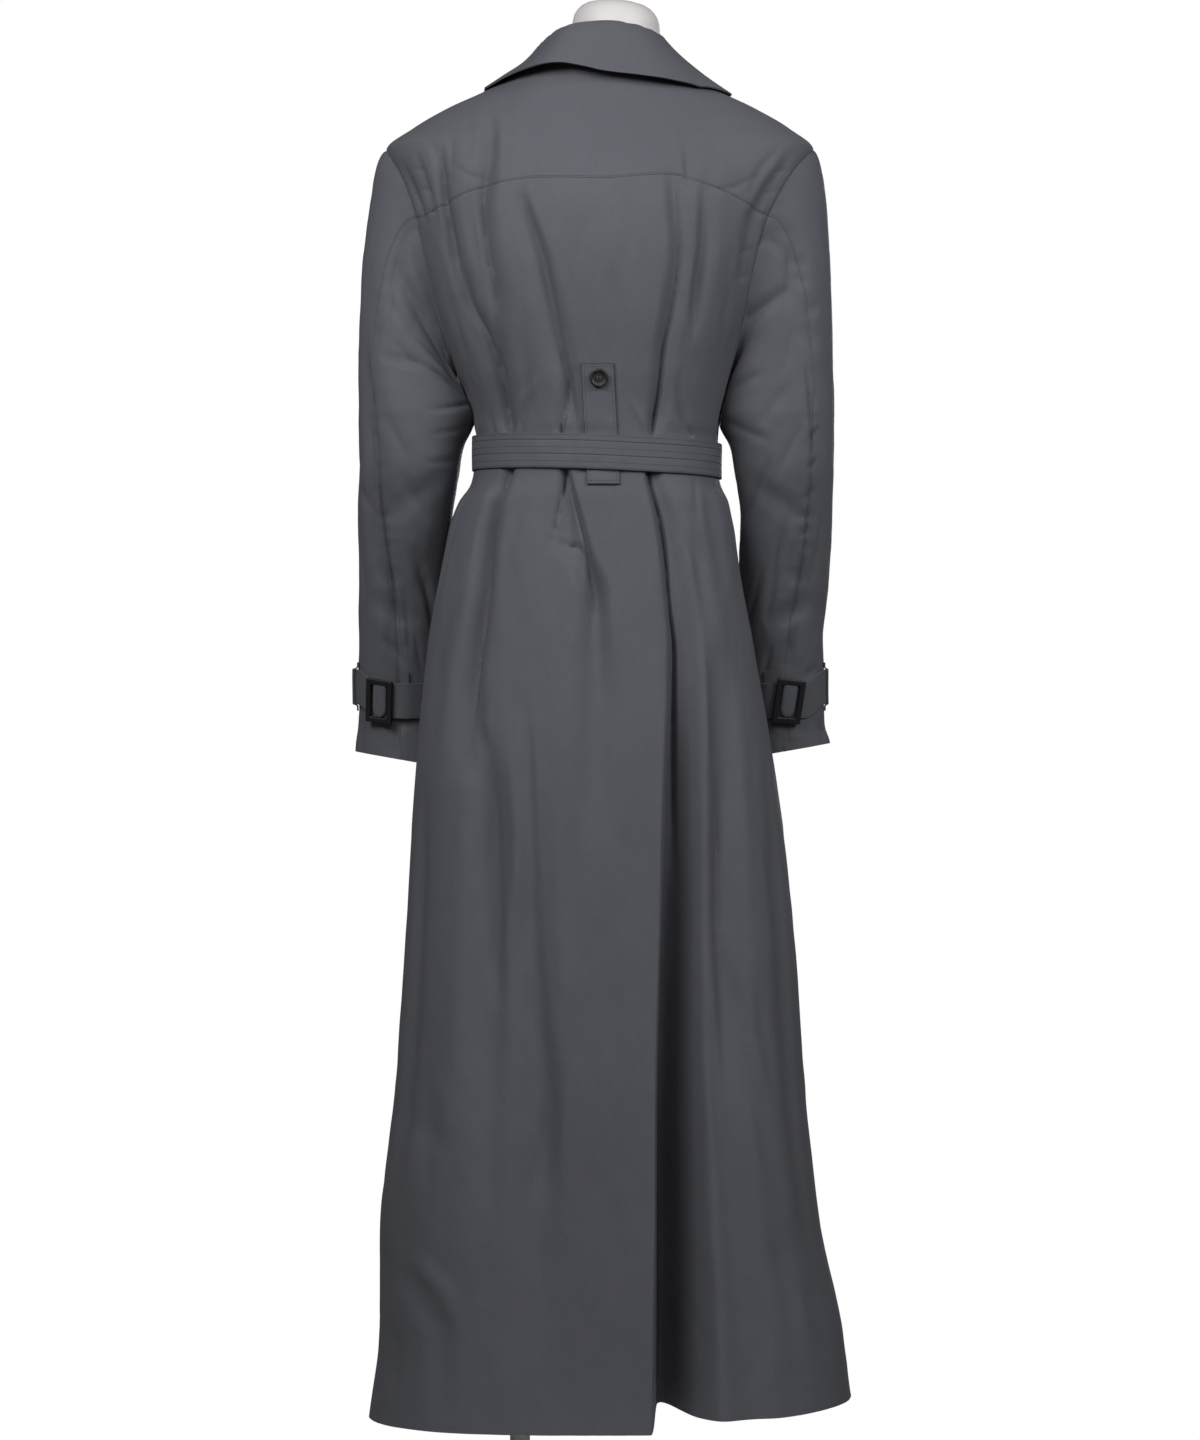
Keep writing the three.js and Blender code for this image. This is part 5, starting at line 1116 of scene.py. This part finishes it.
# Collar
# Two layers of gabardine in one turned piece, sewn to the neckline by its stand. The stand goes up
# to a round turn, and the fall comes down from it, with a left wing that stands off the shoulder.
COLLAR = [
  [-168, -31, -84, 1391, -88, -88, 1340], [-140, -46, -62, 1435, -106, -64, 1380],
  [-115, -61, -32, 1468, -122, -34, 1410], [-90, -67, 2, 1475, -131, 4, 1420],
  [-60, -60, 36, 1481, -98, 52, 1429], [-30, -34, 62, 1489, -50, 80, 1437], [0, -4, 69, 1492, -2, 86, 1441],
  [30, 28, 63, 1489, 42, 81, 1449], [60, 52, 40, 1478, 80, 58, 1443], [90, 65, 4, 1466, 114, 12, 1431],
  [115, 60, -30, 1462, 116, -30, 1408], [140, 46, -62, 1435, 104, -64, 1380],
  [168, 31, -84, 1391, 88, -88, 1340],
]  # turn; x, y and z of the top of the turn; x, y and z of the fall's edge
# The ends in degrees, how far they go down the fronts, the radius of the turn, and how far the
# fall's middle and edge stay over the coat
COLLAR_END, SEAT_DROP, COLLAR_TURN, FALL_CLEAR, EDGE_CLEAR = 168, 78, 3.5, 3.2, 3.4


def height_over(x, y):
    """Height of the coat's plain outer face over a place in plan, found by halving."""
    turn, reach = np.arctan2(x, y), np.hypot(x, y)
    low, high = np.full(x.shape, 1300.0), np.full(x.shape, 1470.0)
    for _ in range(24):
        z = (low + high) / 2
        p = section_point(turn, z)
        wide = np.hypot(p[..., 0], p[..., 1]) > reach
        low, high = np.where(wide, z, low), np.where(wide, high, z)
    return low


def smooth_profile(points, count):
    """Points along a smooth curve through a few: each coordinate a track over their distance."""
    out = []
    for line in points:
        at = np.concatenate([[0], np.cumsum(np.linalg.norm(np.diff(line, axis=0), axis=1))])
        s = np.linspace(0, at[-1], count)
        out.append(np.stack([track(at, line[:, k])(s) for k in range(3)], -1))
    return np.array(out)


degrees = np.linspace(-COLLAR_END, COLLAR_END, 197)
sideways = np.where(degrees < 0, -1, 1)
neck_end = math.degrees(edge_turn(np.array(float(NECK_Z)), 1))
past = np.maximum(np.abs(degrees) - neck_end, 0) / (COLLAR_END - neck_end)
drop = NECK_BACK_DROP * np.maximum(np.cos(np.radians(degrees)), 0) ** 2
seat_z = np.where(past > 0, NECK_Z - SEAT_DROP * past, NECK_Z - drop)
seats = []
for k, d in enumerate(degrees):
    if past[k] > 0:
        turn = sideways[k] * np.abs(edge_turn(seat_z[k], sideways[k]))
        seats.append(front_cloth(turn, seat_z[k], sideways[k], 2.2 + CLOTH)[0])
    else:
        seats.append(cloth(math.radians(d), seat_z[k])[0])
seat = np.array(seats)
seat[:, 2] += 0.3 + 2.9 * eased(np.abs(degrees), neck_end - 24, neck_end)
top_x, top_y, top_z, edge_x, edge_y, edge_z = (f(degrees) for f in columns(COLLAR))
crown = np.stack([top_x, top_y, top_z], -1)
lifted_wing = np.exp(-(((degrees - 52) / 22) ** 2))
rim = np.stack([edge_x, edge_y, edge_z + 2 * lifted_wing], -1)
laid = eased(np.abs(degrees), 62, 96)
over = height_over(edge_x, edge_y) + mix(EDGE_CLEAR, 2.0, laid)
rim[:, 2] = np.maximum(mix(rim[:, 2], over, laid), over)
rim[:, 2] += 0.8 * np.sin(np.radians(degrees) * 5 + 0.6) * (1 - laid)
out = unit((rim - crown) * [1, 1, 0])
down = np.array([0, 0, -1.0])
inner = crown - out * COLLAR_TURN + down * COLLAR_TURN
outer = crown + out * COLLAR_TURN + down * COLLAR_TURN * 0.6
middle = mix(outer, rim, 0.5) - down * 2 * np.cos(np.radians(degrees))[:, None]
middle[:, 2] -= 9 * np.exp(-(((degrees - 78) / 24) ** 2)) + 2 * np.exp(-(((degrees + 84) / 24) ** 2))
middle[:, 2] = np.maximum(middle[:, 2], height_over(middle[:, 0], middle[:, 1]) + FALL_CLEAR)
profile = np.stack([seat, mix(seat, inner, 0.5), inner, crown - out * COLLAR_TURN * 0.6 + down * 0.6,
                    crown + out * COLLAR_TURN * 0.5, outer, middle, rim], 1)
collar_grid = smooth_profile(profile, 49).transpose(1, 0, 2)
collar_normals = grid_normals(collar_grid, 1)
collar_grid = collar_grid + collar_normals * (0.5 * noise(degrees / 9, 0 * degrees, 21)[None, :, None]
                                              * np.linspace(0, 1, 49)[:, None, None])
collar = shell("collar_cloth", collar_grid, collar_normals, CLOTH, coat_cloth)
finish_piece(collar, "cloth", "collar")
fall = collar_grid[28:], collar_normals[28:]
collar_lines = [along_edge(*fall, edge, EDGE_ROW) for edge in ("start", "end", "high")]
collar_rows = sew("collar_stitches", collar_lines, thread)

# Lapels
# The fronts' edges, faced with the same gabardine and turned back below the collar. The right one
# goes down to the break, and only the top of the left one shows beside it.
# How far the lapel's top edge slants down to its tip
GORGE_DROP = 36
for word, side in (("left", 1), ("right", -1)):
    low, high = (1316 if side > 0 else BREAK_Z + 8), 1378
    level = np.linspace(low, high, 81 if side < 0 else 41)[:, None]
    j = np.linspace(0, 1, 41)[None, :]
    z = mix(low, high - GORGE_DROP * j, (level - low) / (high - low))
    reach = 84 * eased(z, BREAK_Z - 10, 1345)
    turns = turn_at(side * (1 + reach * j) - side * edge_place(z), z, True)
    roll = 1.6 * np.exp(-((j * reach / 9) ** 2))
    grid = front_cloth(turns if side > 0 else turns - 2 * np.pi, z, side, 1.7 + CLOTH + roll)[0]
    normals = grid_normals(grid, -side)
    piece = shell(f"lapel_{word}_cloth", grid, normals, CLOTH, coat_cloth)
    finish_piece(piece, "cloth", f"lapel_{word}")
    sewn = sew(f"lapel_{word}_stitches",
               [along_edge(grid, normals, edge, EDGE_ROW) for edge in ("end", "high")], thread)

# Belt with its buckle, and the back tab
# The belt is a 34 mm band of four layers, held flat by six rows of topstitching 5 to 7 mm apart,
# drawn close round the waist and over the tab. Its nylon buckle is at the front. The tab is a
# lined strip, topstitched inside its edges, that buttons at its top. A dense row of thick dark
# thread right at its edges is painted shadow, the dark line of shade along them.
BELT_Z, BELT_TILT, BELT_HEIGHT, BELT_WALL, BELT_LYING = 1067, 4, 34, 2.2, 1.2
BELT_ROWS = (1.5, 6.8, 13.6, 20.4, 27.2, 32.5)
BUCKLE = (46, 54, 6, 4)  # width, height, bar, wall
TAB = {"top": 1153, "bottom": 1035, "width": 32, "lean": -6, "x": 2.5, "wall": 1.8}
# A piece sewn or buttoned on lies so far off the cloth
LYING = 0.6


def belt_grid(heights, lift):
    """Points of the belt at shares of its height, from the front round: the plain section at the
    waist at a lift, tilted, standing off where the tab lies under it."""
    turn = np.pi + np.linspace(0, 2 * np.pi, 321)[:-1]
    place = section_point(turn, BELT_Z)
    step = section_point(turn + 0.01, BELT_Z) - section_point(turn - 0.01, BELT_Z)
    out = unit(np.stack([-step[:, 1], step[:, 0], 0 * turn], -1))
    tab = eased(np.abs(place[:, 0] - 0.5), 28, 15) * (place[:, 1] > 0)
    lap = eased(np.abs(place[:, 0] + 8), 64, 50) * (place[:, 1] < 0)
    grid = []
    for share in heights:
        edge = 1 - 0.6 * abs(2 * share) ** 6
        wave = 0.45 * noise(turn * 6, 0 * turn + share * 2.5, 31)
        p = place + out * (lift + 2.1 * tab + 0.7 * lap + wave * edge)[:, None]
        p[:, 2] = BELT_Z + BELT_TILT * np.sin(turn) + share * BELT_HEIGHT
        grid.append(p)
    return np.array(grid), np.repeat(out[None], len(heights), 0)


# The same cloth, sunk at every row of its topstitching, so that the band looks ribbed
belt_cloth = cloth_material("charcoal gabardine, topstitched belt", "515258", rows=0.0068)
grid, normals = belt_grid(np.linspace(-0.5, 0.5, 25), BELT_LYING + BELT_WALL)
belt = shell("belt_band", grid, normals, BELT_WALL, belt_cloth, closed=True)
finish_piece(belt, "cloth", "belt")
round_again = [np.concatenate([values, values[:, :1]], 1) for values in (grid, normals)]
belt_rows = sew("belt_stitches", [along_edge(*round_again, "low", up) for up in BELT_ROWS], thread)


def tab_middle(z):
    """Place of the tab's middle at a height: it leans a little."""
    return TAB["x"] + TAB["lean"] * (TAB["top"] - z) / (TAB["top"] - TAB["bottom"])


level = np.linspace(TAB["bottom"], TAB["top"], 73)[:, None]
across = tab_middle(level) + TAB["width"] * (np.linspace(0, 1, 33)[None, :] - 0.5)
edge = np.abs(np.linspace(-1, 1, 33))[None, :]
puffed = 0.5 * np.sqrt(np.maximum(1 - edge**4, 0)) - 0.5 + 0.3 * noise(across / 9, level / 14, 41)
under_belt = eased(np.abs(level - BELT_Z), 17, 24)
tab_grid, tab_normals = cloth(turn_at(across, level), level, LYING + TAB["wall"] + puffed * under_belt)
tab = shell("back_tab_cloth", tab_grid, tab_normals, TAB["wall"], coat_cloth)
finish_piece(tab, "cloth", "back_tab")
tab_edges = ("start", "end", "low", "high")
tab_rows = sew("back_tab_stitches", [along_edge(tab_grid, tab_normals, edge, 3.2) for edge in tab_edges]
               + [(tab_grid[56], tab_normals[56])], thread)
# Painted shadow: a dense row of thick dark stitches half a millimetre inside the tab's edges draws the dark
# line of shade along them
tab_edge_shadow_lines = [along_edge(tab_grid, tab_normals, edge, 0.5) for edge in tab_edges]
tab_edge_shadow_stitches = sew("back_tab_painted_edge_shadow", tab_edge_shadow_lines, thread, pitch=1.5, thick=0.9)


def frame_ring(width, height, bar, wall, corner=1.8):
    """A flat frame's bar: 16 points of a soft-cornered section between an outer and an inner
    rectangle with round corners. Points in the frame's plane, x across, y up, z out."""
    paths = []
    for inset, radius in ((0, corner), (bar, corner * 0.6)):
        half_w, half_h = width / 2 - inset - radius, height / 2 - inset - radius
        path = []
        for k, (sx, sy) in enumerate(((1, 1), (-1, 1), (-1, -1), (1, -1))):
            a = np.radians(np.linspace(0, 90, 7)) + k * np.pi / 2
            path.append(np.stack([half_w * sx + radius * np.cos(a), half_h * sy + radius * np.sin(a)], -1))
        paths.append(np.concatenate(path))
    a = np.linspace(0, 2 * np.pi, 17)[:-1] + np.pi / 16
    side_x = np.sign(np.cos(a)) * np.abs(np.cos(a)) ** 0.3
    side_y = np.sign(np.sin(a)) * np.abs(np.sin(a)) ** 0.3
    points = np.zeros((len(paths[0]), 16, 3))
    points[..., :2] = mix(paths[1][:, None], paths[0][:, None], (side_x[None, :, None] + 1) / 2)
    points[..., 2] = wall / 2 + side_y[None, :] * wall / 2
    return points


def ring_faces(rows, cols, start=0, close=True):
    """Quads of a grid that closes round its columns and, if asked, round its rows."""
    last = rows if close else rows - 1
    i, j = (a.ravel() for a in np.meshgrid(np.arange(last), np.arange(cols), indexing="ij"))
    n, m = (i + 1) % rows, (j + 1) % cols
    return start + np.stack([i * cols + j, n * cols + j, n * cols + m, i * cols + m], 1)


def stand_at(points, place, normal, lean=0.0):
    """Points turned clockwise by lean degrees, then moved so that their z looks along a normal
    and their y stays upright."""
    c, d = math.cos(math.radians(lean)), math.sin(math.radians(lean))
    across = unit(np.cross([0, 0, 1.0], normal))
    turned = points @ np.array([[c, -d, 0], [d, c, 0], [0, 0, 1]])
    return place + turned @ np.stack([across, np.cross(normal, across), normal])


# Moulded nylon: black, with a broad weak gloss
black_plastic = plain_material("black moulded nylon", "141517", 0.38, grain=0.1, grit=1.43)


def buckle(name, size, place, normal, middle, nodes, lean=0.0):
    """A buckle from its frame ring, with a middle bar if asked: a rod with an oval section."""
    width, height, bar, wall = size
    ring = frame_ring(width, height, bar, wall)
    points, faces = ring.reshape(-1, 3), [ring_faces(*ring.shape[:2])]
    if middle:
        a = np.linspace(0, 2 * np.pi, 17)[:-1]
        oval = np.stack([bar * 0.42 * np.cos(a), 0 * a, wall / 2 + wall * 0.44 * np.sin(a)], -1)
        end = np.array([0, height / 2 - bar * 0.6, 0])
        rod = np.stack([oval - end, oval + end])
        faces.append(ring_faces(2, 16, len(points), close=False))
        points = np.concatenate([points, rod.reshape(-1, 3)])
    piece = make_mesh(name, stand_at(points, place, normal, lean), faces, None, black_plastic, sharp=60)
    return finish_piece(piece, "buckle_plastic", *nodes)


front_y = -float(section_front(BELT_Z)) - 3.4 - BELT_WALL - 0.2
buckle("belt_buckle_frame", BUCKLE, np.array([0, front_y, BELT_Z]), np.array([0, -1.0, 0]), True,
       ["belt_buckle"])

# Cuff straps with their loops and buckles
# A 35 mm strap of two layers round each cuff, through two narrow loops sewn to the sleeve and a
# nylon buckle at the back. Its round end comes up through the buckle, and it stands off the
# sleeve a little on the outer side.
STRAP_Z, STRAP_HEIGHT, STRAP_INNER, STRAP_WALL = 825, 35, 0.8, 2.0
TONGUE_WIDTH, TONGUE_HEIGHT, TONGUE_ROUND = 14.6, 34, 9.5
CUFF_BUCKLE = (29.5, 45, 5.6, 4)  # width, height, bar, wall
# A loop's width and wall, and its run from end to end: height and how far it is over the strap
LOOP_WIDTH, LOOP_WALL, OUTER_LOOP = 8, 1.2, 8
LOOP_RUN = [[-24.5, 0], [-20, 0], [-18.9, 0.3], [-18, 1], [0, 1], [18, 1], [18.9, 0.3], [20, 0], [24.5, 0]]
# By side: how far the strap stands off outside, places of the back loop and the buckle in degrees,
# and the buckle's lean
CUFFS = {"left": (1, 4.5, 93, 63, 8), "right": (-1, 1.8, 104, 80, 6)}


def strap_rise(degrees):
    """The strap has slid up the sleeve on its outer side."""
    return 14 * eased(np.cos(np.radians(degrees)), 0.5, 1)


def strap_off(degrees, lifted):
    """How far the strap stands off its sleeve: a bell curve about a place on the outer side."""
    return lifted * np.exp(-(((degrees + 12) / 20) ** 2))


for word, (side, lifted, loop_at, buckle_at, lean) in CUFFS.items():
    around = np.arange(160) * 2.25 - 60
    rise = np.linspace(-0.5, 0.5, 13)[:, None] * STRAP_HEIGHT
    off = strap_off(around, lifted) + 0.25 * noise(around / 17, 0 * around, 51 + side)
    off += 1.7 * np.exp(-(((around - loop_at) / 11) ** 2))
    grid, normals = sleeve_skin(side, around[None, :], STRAP_Z + rise + strap_rise(around)[None, :],
                                STRAP_INNER + STRAP_WALL + off[None, :] + 0 * rise)
    strap = shell(f"cuff_strap_{word}_band", grid[:, ::side], normals[:, ::side], STRAP_WALL, coat_cloth,
                  closed=True)
    finish_piece(strap, "cloth", f"cuff_strap_{word}")
    round_again = [np.concatenate([values, values[:, :1]], 1) for values in (grid, normals)]
    lines = [along_edge(*round_again, edge, 2) for edge in ("low", "high")]
    parts = [sew(f"cuff_strap_{word}_stitches", lines, thread)]
    # The back loop lies under the strap and shows over it; the outer one goes over it
    outer_lying = STRAP_INNER + STRAP_WALL + strap_off(OUTER_LOOP, lifted) + 0.2
    for place, middle, lying, up in (("back", loop_at, LYING, 5),
                                     ("outer", OUTER_LOOP, outer_lying, strap_rise(OUTER_LOOP))):
        run = np.linspace(0, 8, 33)
        rise, over = (np.interp(run, np.arange(9), [row[k] for row in LOOP_RUN]) for k in (0, 1))
        half = math.degrees(LOOP_WIDTH / 2 / 48)
        spot = np.linspace(middle - half, middle + half, 9)
        stand = mix(LYING, lying, over)[:, None] + LOOP_WALL
        grid = sleeve_skin(side, spot[None, :], (STRAP_Z + up + rise)[:, None],
                           stand + 0 * spot[None, :])[0]
        loop = shell(f"cuff_loop_{word}_{place}_strip", grid, grid_normals(grid, -side), LOOP_WALL,
                     coat_cloth)
        parts.append(finish_piece(loop, "cloth", f"cuff_loop_{word}_{place}"))
    place, normal = sleeve_skin(side, buckle_at, STRAP_Z, STRAP_INNER + STRAP_WALL + 0.5)
    buckle(f"cuff_buckle_{word}_frame", CUFF_BUCKLE, place, normal, False, [f"cuff_buckle_{word}"], lean)
    # The strap's end: a domed tongue, square at the top and round at the bottom, in the frame
    y = np.linspace(-0.5, 0.5, 33)[:, None] * TONGUE_HEIGHT
    foot = np.clip((TONGUE_ROUND - TONGUE_HEIGHT / 2 - y) / TONGUE_ROUND, 0, 1)
    half = TONGUE_WIDTH / 2 * np.sqrt(np.maximum(1 - foot**2, 0.01))
    u = np.linspace(-1, 1, 17)[None, :]
    dome = 1.9 + 1.5 * np.sqrt(np.maximum(1 - u**4, 0)) * np.sqrt(np.maximum(1 - foot**4, 0)) + 0 * y
    tongue_grid = np.stack([u * half, y + 0 * u, dome], -1).reshape(-1, 3)
    tongue_grid = stand_at(tongue_grid, place, normal, lean).reshape(33, 17, 3)
    tongue = shell(f"cuff_tongue_{word}_strip", tongue_grid, grid_normals(tongue_grid, -1), 1.4, coat_cloth)
    parts.append(finish_piece(tongue, "cloth"))

# Buttons
# Turned horn, 18.4 mm wide, with a raised rim and a dished face. Four holes take two bows of brown
# thread, which sew each one to the cloth.
BUTTON_RADIUS, BUTTON_RIM, BUTTON_DISH = 9.2, 3.2, 1.2
# The tab's button by x and z; the front's by z, so far in from the edge
TAB_BUTTON, FRONT_BUTTONS, BUTTON_INSET = (1.0, 1139.0), (1172.0, 1125.0, 960.0, 820.0), 22.0
# Half polished horn: nearly black, clouded, with a dull shine on the rim
horn = plain_material("dull dark horn", "171517", 0.5, grain=0.3, grit=6.25)
# Brown thread: a warm spot in the middle of the dark button
brown_thread = plain_material("brown polyester thread", "5d4a40", 0.5, grain=0.15, grit=1.11)


def button(name, place, normal, node):
    """A lathed button and its thread: the profile's rows are radius and height."""
    r, h = BUTTON_RADIUS, BUTTON_RIM
    rows = [(0.01, 0), (r - 1, 0), (r - 0.3, 0.25), (r, 0.9), (r, h - 1), (r - 0.25, h - 0.35), (r - 0.9, h),
            (r - 1.9, h), (r - 2.6, h - 0.3), (r - 3.4, h - BUTTON_DISH + 0.1), (r - 4.4, h - BUTTON_DISH),
            (0.01, h - BUTTON_DISH + 0.1)]
    a = np.linspace(0, 2 * np.pi, 49)[:-1]
    turned = np.array([np.stack([k * np.cos(a), k * np.sin(a), 0 * a + up], -1) for k, up in rows])
    faces = [ring_faces(len(rows), 48, close=False)]
    piece = make_mesh(name, stand_at(turned.reshape(-1, 3), place, normal), faces, None, horn, sharp=70)
    finish_piece(piece, "horn", node)
    a, faces, points = np.linspace(0, 2 * np.pi, 9)[:-1], [], []
    t = np.linspace(0, np.pi, 9)[:, None]
    for x in (-1.3, 1.3):
        bow = np.stack([0 * t + x, 1.7 * np.cos(t), h - BUTTON_DISH + 0.1 + 0.75 * np.sin(t)], -1)
        skin = np.stack([np.cos(a) + 0 * t, np.sin(a) * np.cos(t), np.sin(a) * np.sin(t)], -1)
        faces.append(ring_faces(9, 8, len(points) * 72, close=False))
        points.append((bow + 0.42 * skin).reshape(-1, 3))
    points = stand_at(np.concatenate(points), place, normal)
    sewn = make_mesh(name + "_thread", points, faces, None, brown_thread)
    finish_piece(sewn, "cloth")


place, normal = cloth(turn_at(TAB_BUTTON[0], TAB_BUTTON[1]), TAB_BUTTON[1], LYING + TAB["wall"] + 0.2)
button("back_tab_button_horn", place, normal, "back_tab_button")
for i, z in enumerate(FRONT_BUTTONS):
    place, normal = front_cloth(turn_at(LAP - BUTTON_INSET, z, True) - 2 * np.pi, z, -1, 0.4)
    button(f"front_button_{i + 1}_horn", place, normal, f"front_button_{i + 1}")

# Dress form: torso with neck cap, pole and foot
# A white painted shell that ends under the hip, on a steel pole and a round steel foot. Only its
# neck cap, the pole's foot end and the round foot show.
TORSO = [
  [861, 96, 72, 0], [866, 102, 76, 0], [878, 108, 80, 0], [910, 112, 83, 0], [960, 108, 80, 0],
  [1010, 96, 73, 0], [1065, 90, 68, 0], [1120, 100, 76, -2], [1190, 118, 88, -6], [1250, 130, 90, -6],
  [1310, 144, 84, -3], [1350, 152, 72, 0], [1375, 153, 62, 2], [1402, 152, 54, 3], [1414, 148, 51, 3],
  [1420, 142, 50, 3], [1440, 110, 45, 4], [1450, 66, 43, 4], [1458, 46, 42, 4],
]  # z, half width, half depth, forward shift
NECK = [
  [1470, 1], [1494, 1], [1501, 0.985], [1507, 0.95], [1512, 0.88], [1516, 0.79], [1519, 0.67],
  [1521.2, 0.5], [1522.6, 0.25], [1523, 0.004],
]  # z, share of the neck's radius
NECK_RADIUS, NECK_X, NECK_Y = 44, -16, 4
# Rows of radius and height, and the x of their upright line
POLE, POLE_X = [(0.01, 12.3), (9.6, 12.3), (10, 12.7), (10, 860.3), (9.6, 860.7), (0.01, 860.7)], 80
FOOT, FOOT_X = [(0.01, 0), (184, 0), (185, 1), (185, 8), (184.4, 10), (183, 11.3), (181, 12), (0.01, 12)], 25
# White paint on fibreglass: an even satin skin
form_skin = plain_material("white painted fibreglass", "c2bebe", 0.55, grain=0.012, grit=25)
# Brushed stainless steel: grey, with blurred reflections
steel = plain_material("brushed stainless steel", "a3a5a5", 0.32, grain=0.06, grit=3.33, metallic=1.0)
a = np.linspace(0, 2 * np.pi, 97)[:-1]
rings = [np.stack([0.3 * np.cos(a), 0.3 * np.sin(a), 0 * a + TORSO[0][0]], -1)]
for z, wide, deep, shift in TORSO:
    widest = np.where(np.cos(a) > 0, section_left(z), section_right(z)) - 5.4
    x = NECK_X * eased(z, 1440, 1460) + np.minimum(wide, widest) * np.cos(a)
    rings.append(np.stack([x, shift + (deep - 0.6) * np.sin(a), 0 * a + z], -1))
for z, share in NECK:
    x, y = NECK_RADIUS * share * np.cos(a), NECK_RADIUS * share * np.sin(a)
    rings.append(np.stack([NECK_X + x, NECK_Y + y, z + 0.06 * x * eased(z, 1480, 1515)], -1))
torso = make_mesh("form_torso_shell", np.concatenate(rings), [ring_faces(len(rings), 96, close=False)], None,
                  form_skin, sharp=60)
finish_piece(torso, "form_white", "form_torso")


def lathe(name, rows, x, material, sharp=40):
    """A solid of revolution about an upright line at x, from rows of radius and height."""
    a = np.linspace(0, 2 * np.pi, 97)[:-1]
    ring = np.array([np.stack([x + r * np.cos(a), r * np.sin(a), 0 * a + z], -1) for r, z in rows])
    faces = ring_faces(len(rows), 96, close=False)
    return make_mesh(name, ring.reshape(-1, 3), [faces], None, material, sharp=sharp)


pole = lathe("form_pole_tube", POLE, POLE_X, steel)
finish_piece(pole, "steel", "form_pole")
foot = lathe("form_base_disc", FOOT, FOOT_X, steel)
finish_piece(foot, "steel", "form_base")

# Floor, light and camera
# A plain pale floor that fades out round the foot, and white surroundings that light the coat
# weakly. Three soft lights hang above on the camera's side, and one more stands before the coat.
# The camera is 4.2 m behind the coat, level, 805 mm up.
scene = bpy.context.scene
scene.view_settings.view_transform = "Standard"
floor_paint, tree = new_material("matt white floor paint")
place = add(tree, "TexCoord").outputs["Object"]
reach = add(tree, "VectorMath", {0: place}, operation="LENGTH").outputs["Value"]
fade = add(tree, "MapRange", {"Value": reach, "From Min": 0.26, "From Max": 0.48},
           interpolation_type="SMOOTHSTEP")
paint = add(tree, "BsdfPrincipled", {"Base Color": linear("f2f2f1"), "Roughness": 0.8})
clear = add(tree, "BsdfTransparent")
mixed = add(tree, "MixShader", {0: fade.outputs["Result"], 1: paint.outputs[0], 2: clear.outputs[0]})
add(tree, "OutputMaterial", {"Surface": mixed.outputs[0]})
corners = np.array([[-500, -500, 0], [500, -500, 0], [500, 500, 0], [-500, 500, 0]], float)
floor = make_mesh("floor", corners, [np.array([[0, 1, 2, 3]])], None, floor_paint)

world = bpy.data.worlds.new("white studio")
scene.world = world
world.use_nodes = True
tree = world.node_tree
tree.nodes.clear()
seen = add(tree, "LightPath").outputs["Is Camera Ray"]
level = add(tree, "MapRange", {"Value": seen, "To Min": 0.1, "To Max": 1.0}).outputs["Result"]
shine = add(tree, "Background", {"Color": linear("ffffff"), "Strength": level})
add(tree, "OutputWorld", {"Surface": shine.outputs[0]})


def soft_light(name, place, aim, size, power):
    """An area light at a place, turned to face its aim, in metres and watts."""
    lamp = bpy.data.lights.new(name, "AREA")
    lamp.shape, lamp.size, lamp.size_y, lamp.energy = "RECTANGLE", size[0], size[1], power
    light = bpy.data.objects.new(name, lamp)
    light.location = place
    way = np.array(aim, float) - np.array(place, float)
    turn = math.atan2(way[1], way[0]) - math.pi / 2
    light.rotation_euler = (math.atan2(np.hypot(way[0], way[1]), -way[2]), 0, turn)
    scene.collection.objects.link(light)


soft_light("key", (1.02, 1.45, 2.12), (0, 0, 1.25), (1.0, 0.8), 32)
soft_light("broad", (0, 2.6, 2.1), (0, 0, 1.3), (2.0, 0.8), 14)
soft_light("fill", (-1.5, 1.25, 2.05), (0, 0, 1.3), (0.8, 0.9), 28)
soft_light("front", (-0.4, -2.6, 1.5), (0, 0, 0.9), (1.6, 1.0), 34)

camera = bpy.data.cameras.new("camera")
camera.sensor_fit, camera.sensor_height, camera.lens = "VERTICAL", 24, 70
eye = bpy.data.objects.new("camera", camera)
eye.location = (0, 4.2, 0.805)
eye.rotation_euler = (math.pi / 2, 0, math.pi)
scene.collection.objects.link(eye)
scene.camera = eye
